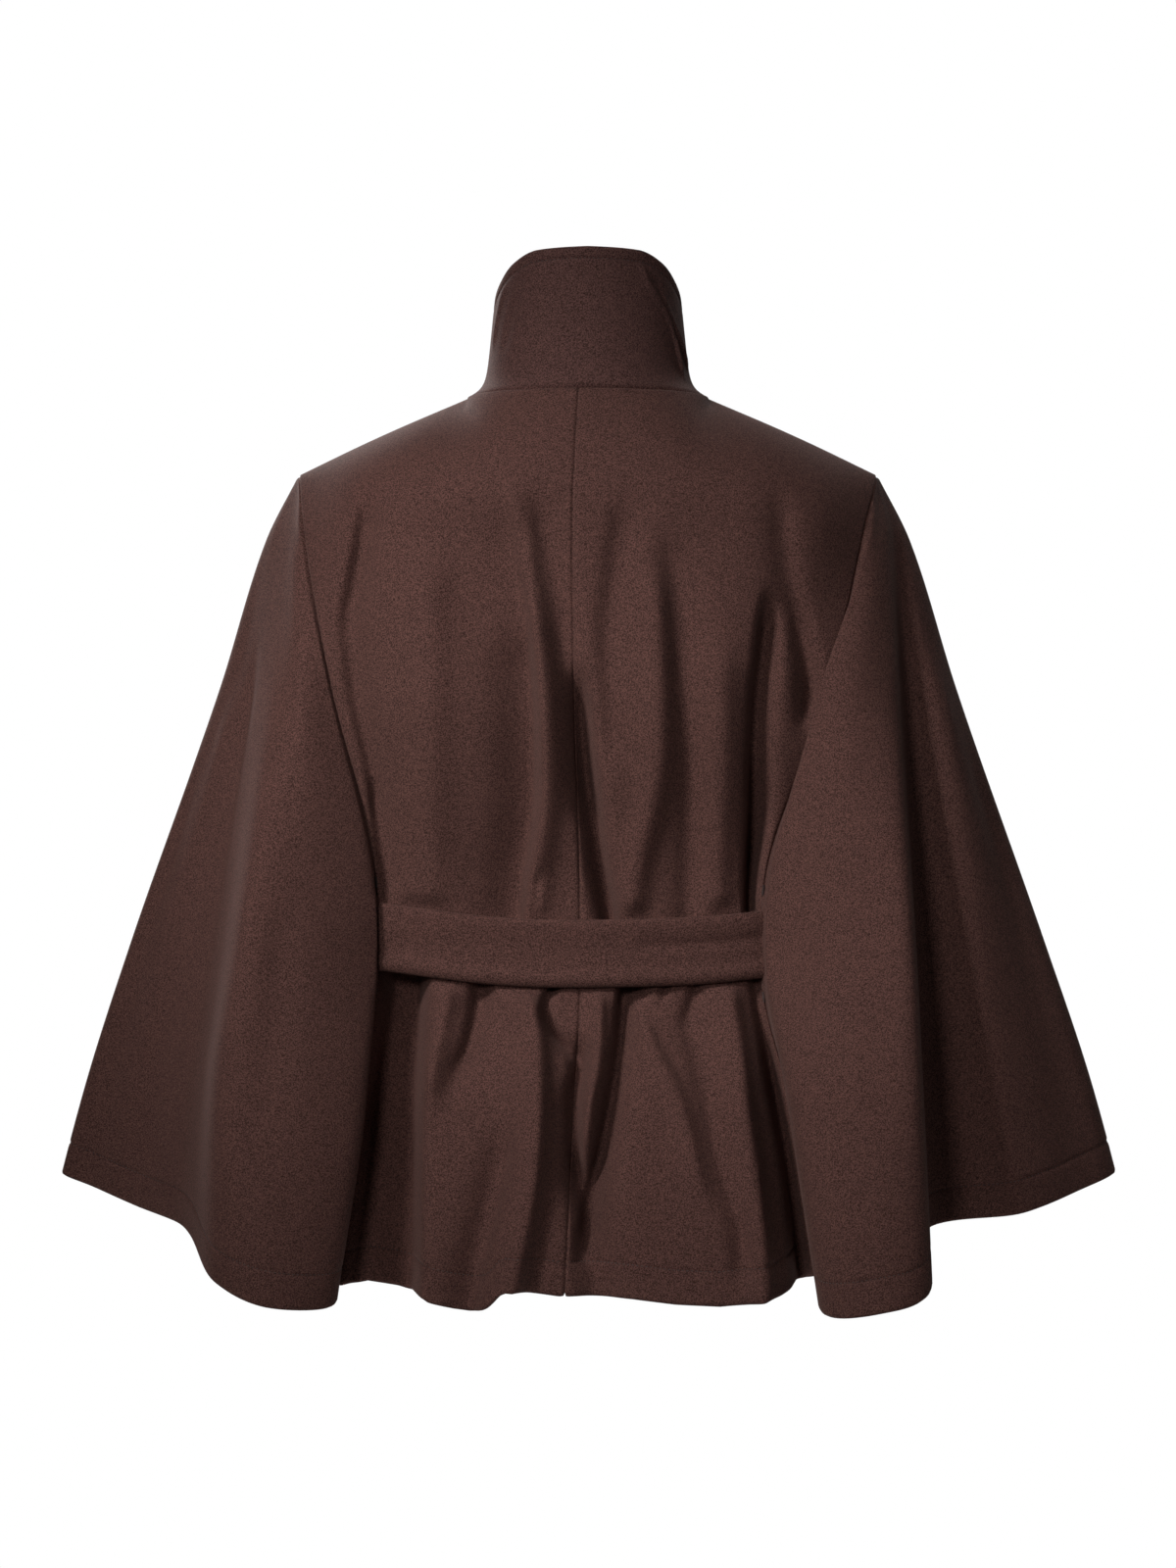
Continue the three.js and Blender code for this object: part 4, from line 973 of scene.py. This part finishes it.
def squared(v):
    """A signed power below one, which brings a circle nearer to a square."""
    return np.sign(v) * np.abs(v) ** KNOT["square"]


def knot_shell(centre):
    """A squared oval: signed powers of sine and cosine, with bells sunk along slants."""
    around, down = KNOT["around"], KNOT["down"]
    tilt = np.linspace(0, math.pi, down + 1)[1:-1][None, :]
    turn = np.linspace(0, 2 * math.pi, around, endpoint=False)[:, None]
    wide = squared(np.sin(tilt))
    x, y = wide * squared(np.cos(turn)), wide * squared(np.sin(turn))
    z = squared(np.cos(tilt)) + 0 * turn
    sink = 0 * z
    for place, slant, depth, width in KNOT_CREASES:
        ends = smooth((1 - np.abs(z)) * KNOT["fade"])
        sink = sink + depth * bell(x - place - slant * z, width) * (y > 0) * ends
    size = np.array([KNOT["wide"], KNOT["deep"], KNOT["high"]])
    points = np.stack([x, y, z], axis=-1) * size + centre
    points[..., 1] += sink
    ring = np.arange(around * (down - 1)).reshape(around, down - 1)
    following = np.roll(ring, -1, axis=0)
    a, b, c, d = ring[:, :-1], ring[:, 1:], following[:, 1:], following[:, :-1]
    top, low = np.full(around, ring.size), np.full(around, ring.size + 1)
    faces = [
        np.stack([a, b, c], axis=-1).reshape(-1, 3),
        np.stack([a, c, d], axis=-1).reshape(-1, 3),
        np.stack([following[:, 0], top, ring[:, 0]], axis=-1),
        np.stack([ring[:, -1], low, following[:, -1]], axis=-1),
    ]
    poles = np.array([centre + (0, 0, KNOT["high"]), centre - (0, 0, KNOT["high"])])
    return np.concatenate([points.reshape(-1, 3), poles]), np.concatenate(faces)


frontmost = front_right[:, BAND_ROW, 1].max()
knot_y = frontmost + 2 * BELT["gap"] + BELT["wall"] + KNOT["deep"]
knot_centre = np.array([0, knot_y, BELT_FRONT])
knot = mesh_piece("belt_knot_cloth", *knot_shell(knot_centre), WOOL_BELT)
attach(knot, "root")
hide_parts("belt_knot")

# Belt ends
# Two ends of the belt hang from the knot and lie on the fronts. They leave it gathered
# and open to the belt's full width, with one soft fold that runs out towards the end.
TAILS = {
    "belt_tail_right": {"top": 11, "end": 38, "low": -645, "fold": 0.1},
    "belt_tail_left": {"top": -11, "end": -48, "low": -632, "fold": -0.12},
}
TAIL = {"narrow": 15, "wide": 44, "bend": 0.8, "wall": 3.5, "lift": 4.8, "rise": 5, "tuck": 0.3}
TAIL_GRID = (25, 66)
# The soft fold: its height, half width in shares of the width, and how much it flattens.
TAIL_FOLD = (2.6, 0.14, 0.75)
# Gathers at the knot: half their height, and how many lie across the end.
TAIL_GATHERS = (0.8, 3)
# How fast, going down, an end opens, leaves the knot and loses its fold.
TAIL_RATES = {"open": 3, "leave": 4, "flatten": 1.3}


def tail_points(tail, top_z):
    """Points of a hanging end: across its opening width and down the front's cloth."""
    across = np.linspace(0.5, -0.5, TAIL_GRID[0])[:, None]
    down = np.linspace(0, 1, TAIL_GRID[1])[None, :]
    opened = smooth(down * TAIL_RATES["open"])
    x = tail["top"] + (tail["end"] - tail["top"]) * down ** TAIL["bend"]
    x = x + across * (TAIL["narrow"] + (TAIL["wide"] - TAIL["narrow"]) * opened)
    z = top_z + (tail["low"] - top_z) * down + 0 * across
    front_x, front_y = (
        np.stack([np.interp(-z[0], -column[:, 2], column[:, k]) for column in front_right])
        for k in (0, 1)
    )
    y = np.stack([
        np.interp(np.abs(x[:, k]), front_x[::-1, k], front_y[::-1, k]) for k in range(z.shape[1])
    ], axis=1)
    height, width, flatter = TAIL_FOLD
    fold = height * bell(across - tail["fold"] * (1 + down), width)
    fold = fold * (1 - flatter * smooth(down * TAIL_RATES["flatten"]))
    leaving = 1 - smooth(down * TAIL_RATES["leave"])
    gather, count = TAIL_GATHERS
    gathers = gather * np.cos(across * 2 * math.pi * count) * leaving
    y = y + TAIL["lift"] + TAIL["wall"] + TAIL["rise"] * leaving + fold + gathers
    return np.stack([x, y, z], axis=-1)


for name, tail in TAILS.items():
    grid = tail_points(tail, BELT_FRONT - KNOT["high"] + TAIL["tuck"])
    shell = cloth_shell(grid, np.full(grid.shape[:2], TAIL["wall"]), ())
    piece = mesh_piece(name + "_cloth", *shell, WOOL_BELT)
    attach(piece, "root")
    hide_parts(name)

# Stitches
# Rows of short stitches in a thread of the cloth's own tone: along the hem all round,
# along the collar's top and down the right front's edge, and bar tacks at the slits.
STITCH = {"pitch": 3.3, "length": 2.5, "radius": 0.36}
# A stitch's rings: places along its half length, and shares of its radius for each
# ring's own radius and for how far it stands out of the cloth.
STITCH_RINGS = np.array([
    (-1, 0.25, -1.2),
    (-0.75, 0.8, 0),
    (0, 1, 0.45),
    (0.75, 0.8, 0),
    (1, 0.25, -1.2),
])
STITCH_SIDES = 6
# The front edge's row: distance from the edge, and the grid rows it runs over.
FRONT_EDGE_STITCH = 7
FRONT_EDGE_ENDS = slice(3, -4)
# A bar tack: distance of its first stitch from the belt's middle, stitches, their pitch
# up the seam, and how far their middles are from the seam.
TACK = {"from": 36, "count": 11, "pitch": 0.72, "inset": 0.9}


def spindles(centre, way, up):
    """Stitches at centres: rings about each one's way, round in section, thick in the
    middle and sunk at both ends."""
    way, up = unit(way)[:, None, None], unit(up)[:, None, None]
    along, thick, raised = (column[:, None, None] for column in STITCH_RINGS.T)
    turn = np.linspace(0, 2 * math.pi, STITCH_SIDES, endpoint=False)[:, None]
    ring = np.cos(turn) * np.cross(way, up) + np.sin(turn) * up
    points = centre[:, None, None] + way * (along * STITCH["length"] / 2)
    points = points + up * (raised * STITCH["radius"]) + ring * (thick * STITCH["radius"])
    index = np.arange(points.size // 3).reshape(points.shape[:3])
    a, b = index[:, :-1], index[:, 1:]
    sides = np.stack([a, np.roll(a, -1, axis=2), np.roll(b, -1, axis=2), b], axis=-1)
    first, last = index[:, 0], index[:, -1]
    caps = [first[:, [3, 2, 1, 0]], first[:, [5, 4, 3, 0]]]
    caps += [last[:, [0, 1, 2, 3]], last[:, [0, 3, 4, 5]]]
    return points.reshape(-1, 3), np.concatenate([sides.reshape(-1, 4), *caps])


def stitch_row(path, normal):
    """Stitches at an even pitch along a path, each lying along it."""
    along = path_lengths(path)
    at = np.arange(STITCH["pitch"], along[-1] - STITCH["pitch"], STITCH["pitch"])
    centre = on_line(at, along, path)
    return spindles(centre, on_line(at + 1, along, path) - centre, on_line(at, along, normal))


def bar_tack(seam, inside, end):
    """Stitches close together across a seam, over a few millimetres from a slit's end."""
    heights = seam[BAND_ROW, 2] + end * (TACK["from"] + np.arange(TACK["count"]) * TACK["pitch"])
    on_seam, on_cloth = (on_line(-heights, -line[:, 2], line) for line in (seam, inside))
    way = unit(on_cloth - on_seam)
    up = np.cross(way, (0, 0, 1))
    up *= np.sign(up[:, 1] * on_seam[:, 1])[:, None]
    return spindles(on_seam + way * TACK["inset"], way, up)


def grid_row_at(points, levels, level):
    """The line on a grid where levels, falling along its rows, have one value."""
    part = np.stack([np.interp(-level, -row, np.arange(len(row))) for row in levels])
    low = np.floor(part).astype(int).clip(0, points.shape[1] - 2)
    share = (part - low)[:, None]
    columns = np.arange(len(points))
    return points[columns, low] * (1 - share) + points[columns, low + 1] * share


def joined(parts):
    """Several meshes' points and faces as one."""
    offsets = np.cumsum([0, *(len(v) for v, _ in parts[:-1])])
    faces = np.concatenate([f + offset for (_, f), offset in zip(parts, offsets)])
    return np.concatenate([v for v, _ in parts]), faces


PLY_SCALE = 1500
THREAD_TONES = ((0.018, 0.009, 0.008, 1), (0.06, 0.031, 0.027, 1))


def thread_material():
    """Sewing thread: the wool's tone, a little darker and smoother, in twisted plies."""
    material, nodes, links, shader = new_material("thread", Roughness=0.6)
    place = nodes.new("ShaderNodeTexCoord")
    plies, ramp = nodes.new("ShaderNodeTexNoise"), nodes.new("ShaderNodeValToRGB")
    plies.inputs["Scale"].default_value = PLY_SCALE
    for element, tone in zip(ramp.color_ramp.elements, THREAD_TONES):
        element.color = tone
    links.new(place.outputs["Object"], plies.inputs["Vector"])
    links.new(plies.outputs["Fac"], ramp.inputs["Fac"])
    links.new(ramp.outputs["Color"], shader.inputs["Base Color"])
    return material


def row_at(points, normals, levels, level):
    """Stitches along the line on a grid where the levels have one value."""
    line, up = (grid_row_at(grid, levels, level) for grid in (points, normals))
    return stitch_row(line, up)


THREAD = thread_material()
rows = []
for panel in (back_left, back_right, cape_right, front_right, front_left, cape_left):
    normals = grid_normals(panel)
    rows.append(row_at(panel - normals * STITCH_SINK, normals, above_hem(panel), HEM_STITCH))
rows.append(row_at(collar_sunk, grid_normals(collar_grid), collar_below, -COLLAR_STITCH))
edge_away = edge_distance(front_right, 0, -1).T
edge_line, edge_up = (
    grid_row_at(grid.transpose(1, 0, 2), edge_away, FRONT_EDGE_STITCH)[FRONT_EDGE_ENDS]
    for grid in (front_right, grid_normals(front_right))
)
rows.append(stitch_row(edge_line, edge_up))
tacks = [
    bar_tack(seam, inside, end)
    for seam, inside in (
        (back_right[-1], back_right[-4]),
        (back_left[0], back_left[3]),
        (front_right[0], front_right[3]),
        (front_left[-1], front_left[-4]),
    )
    for end in (1, -1)
]
stitches = mesh_piece("stitches", *joined([*rows, *tacks]), THREAD)
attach(stitches, "root")

# Studio
# A pale round floor far below and a pale surround. Two narrow soft lights behind the
# camera, from the left, a weaker broad one from the right, and two for the front.
FLOOR_Z, FLOOR_RADIUS, FLOOR_CORNERS = -1.35, 1.9, 96
turns = np.linspace(0, 2 * math.pi, FLOOR_CORNERS, endpoint=False)
circle = np.stack([np.cos(turns), np.sin(turns)], axis=-1) * FLOOR_RADIUS
floor_points = np.insert(circle, 2, FLOOR_Z, axis=1)
floor_mesh = bpy.data.meshes.new("floor")
floor_mesh.from_pydata(floor_points.tolist(), [], [list(range(FLOOR_CORNERS))])
floor = bpy.data.objects.new("floor", floor_mesh)
bpy.context.collection.objects.link(floor)
paint, *_ = new_material("floor_paint", Base_Color=(0.86, 0.86, 0.86, 1), Roughness=0.9)
floor_mesh.materials.append(paint)

# The surround: its strength for light on the cloth, and as the camera sees it.
SURROUND = {"To Min": 0.008, "To Max": 1.0}
world = bpy.data.worlds.new("studio")
bpy.context.scene.world = world
world.use_nodes = True
world_nodes, world_links = world.node_tree.nodes, world.node_tree.links
surround = world_nodes["Background"]
surround.inputs["Color"].default_value = (1, 1, 1, 1)
seen, strength = world_nodes.new("ShaderNodeLightPath"), world_nodes.new("ShaderNodeMapRange")
for socket, value in SURROUND.items():
    strength.inputs[socket].default_value = value
world_links.new(seen.outputs["Is Camera Ray"], strength.inputs["Value"])
world_links.new(strength.outputs["Result"], surround.inputs["Strength"])

LIGHT_DISTANCE = 3.2
LIGHT_AIM = (0.03, 0, -0.36)
# Lights: name, degrees round from the camera's side, height in degrees, size, watts,
# and the width of the beam in degrees.
LIGHTS = [
    ("key", -38, 34, 0.5, 1.35, 20),
    ("front_of_key", -14, 14, 0.5, 1.4, 40),
    ("fill", 55, 28, 0.9, 5, 180),
    ("far_key", -150, 28, 1.0, 88, 180),
    ("far_fill", 150, 34, 1.2, 20, 180),
]


def soft_light(name, place, target, size, power, beam):
    """A square area light at a place, turned to its target, its beam narrowed."""
    data = bpy.data.lights.new(name, "AREA")
    data.size, data.energy, data.spread = size, power, math.radians(beam)
    light = bpy.data.objects.new(name, data)
    light.location = place
    x, y, z = np.array(target) - np.array(place)
    tilt, turn = math.atan2(math.hypot(x, y), -z), math.atan2(y, x) - math.pi / 2
    light.rotation_euler = (tilt, 0, turn)
    bpy.context.collection.objects.link(light)


for name, azimuth, height, size, power, beam in LIGHTS:
    turn, rise = math.radians(azimuth), math.radians(height)
    reach, up = LIGHT_DISTANCE * math.cos(rise), LIGHT_DISTANCE * math.sin(rise)
    place = (reach * math.sin(turn), -reach * math.cos(turn), LIGHT_AIM[2] + up)
    soft_light(name, place, LIGHT_AIM, size, power, beam)
bpy.context.scene.view_settings.view_transform = "Standard"
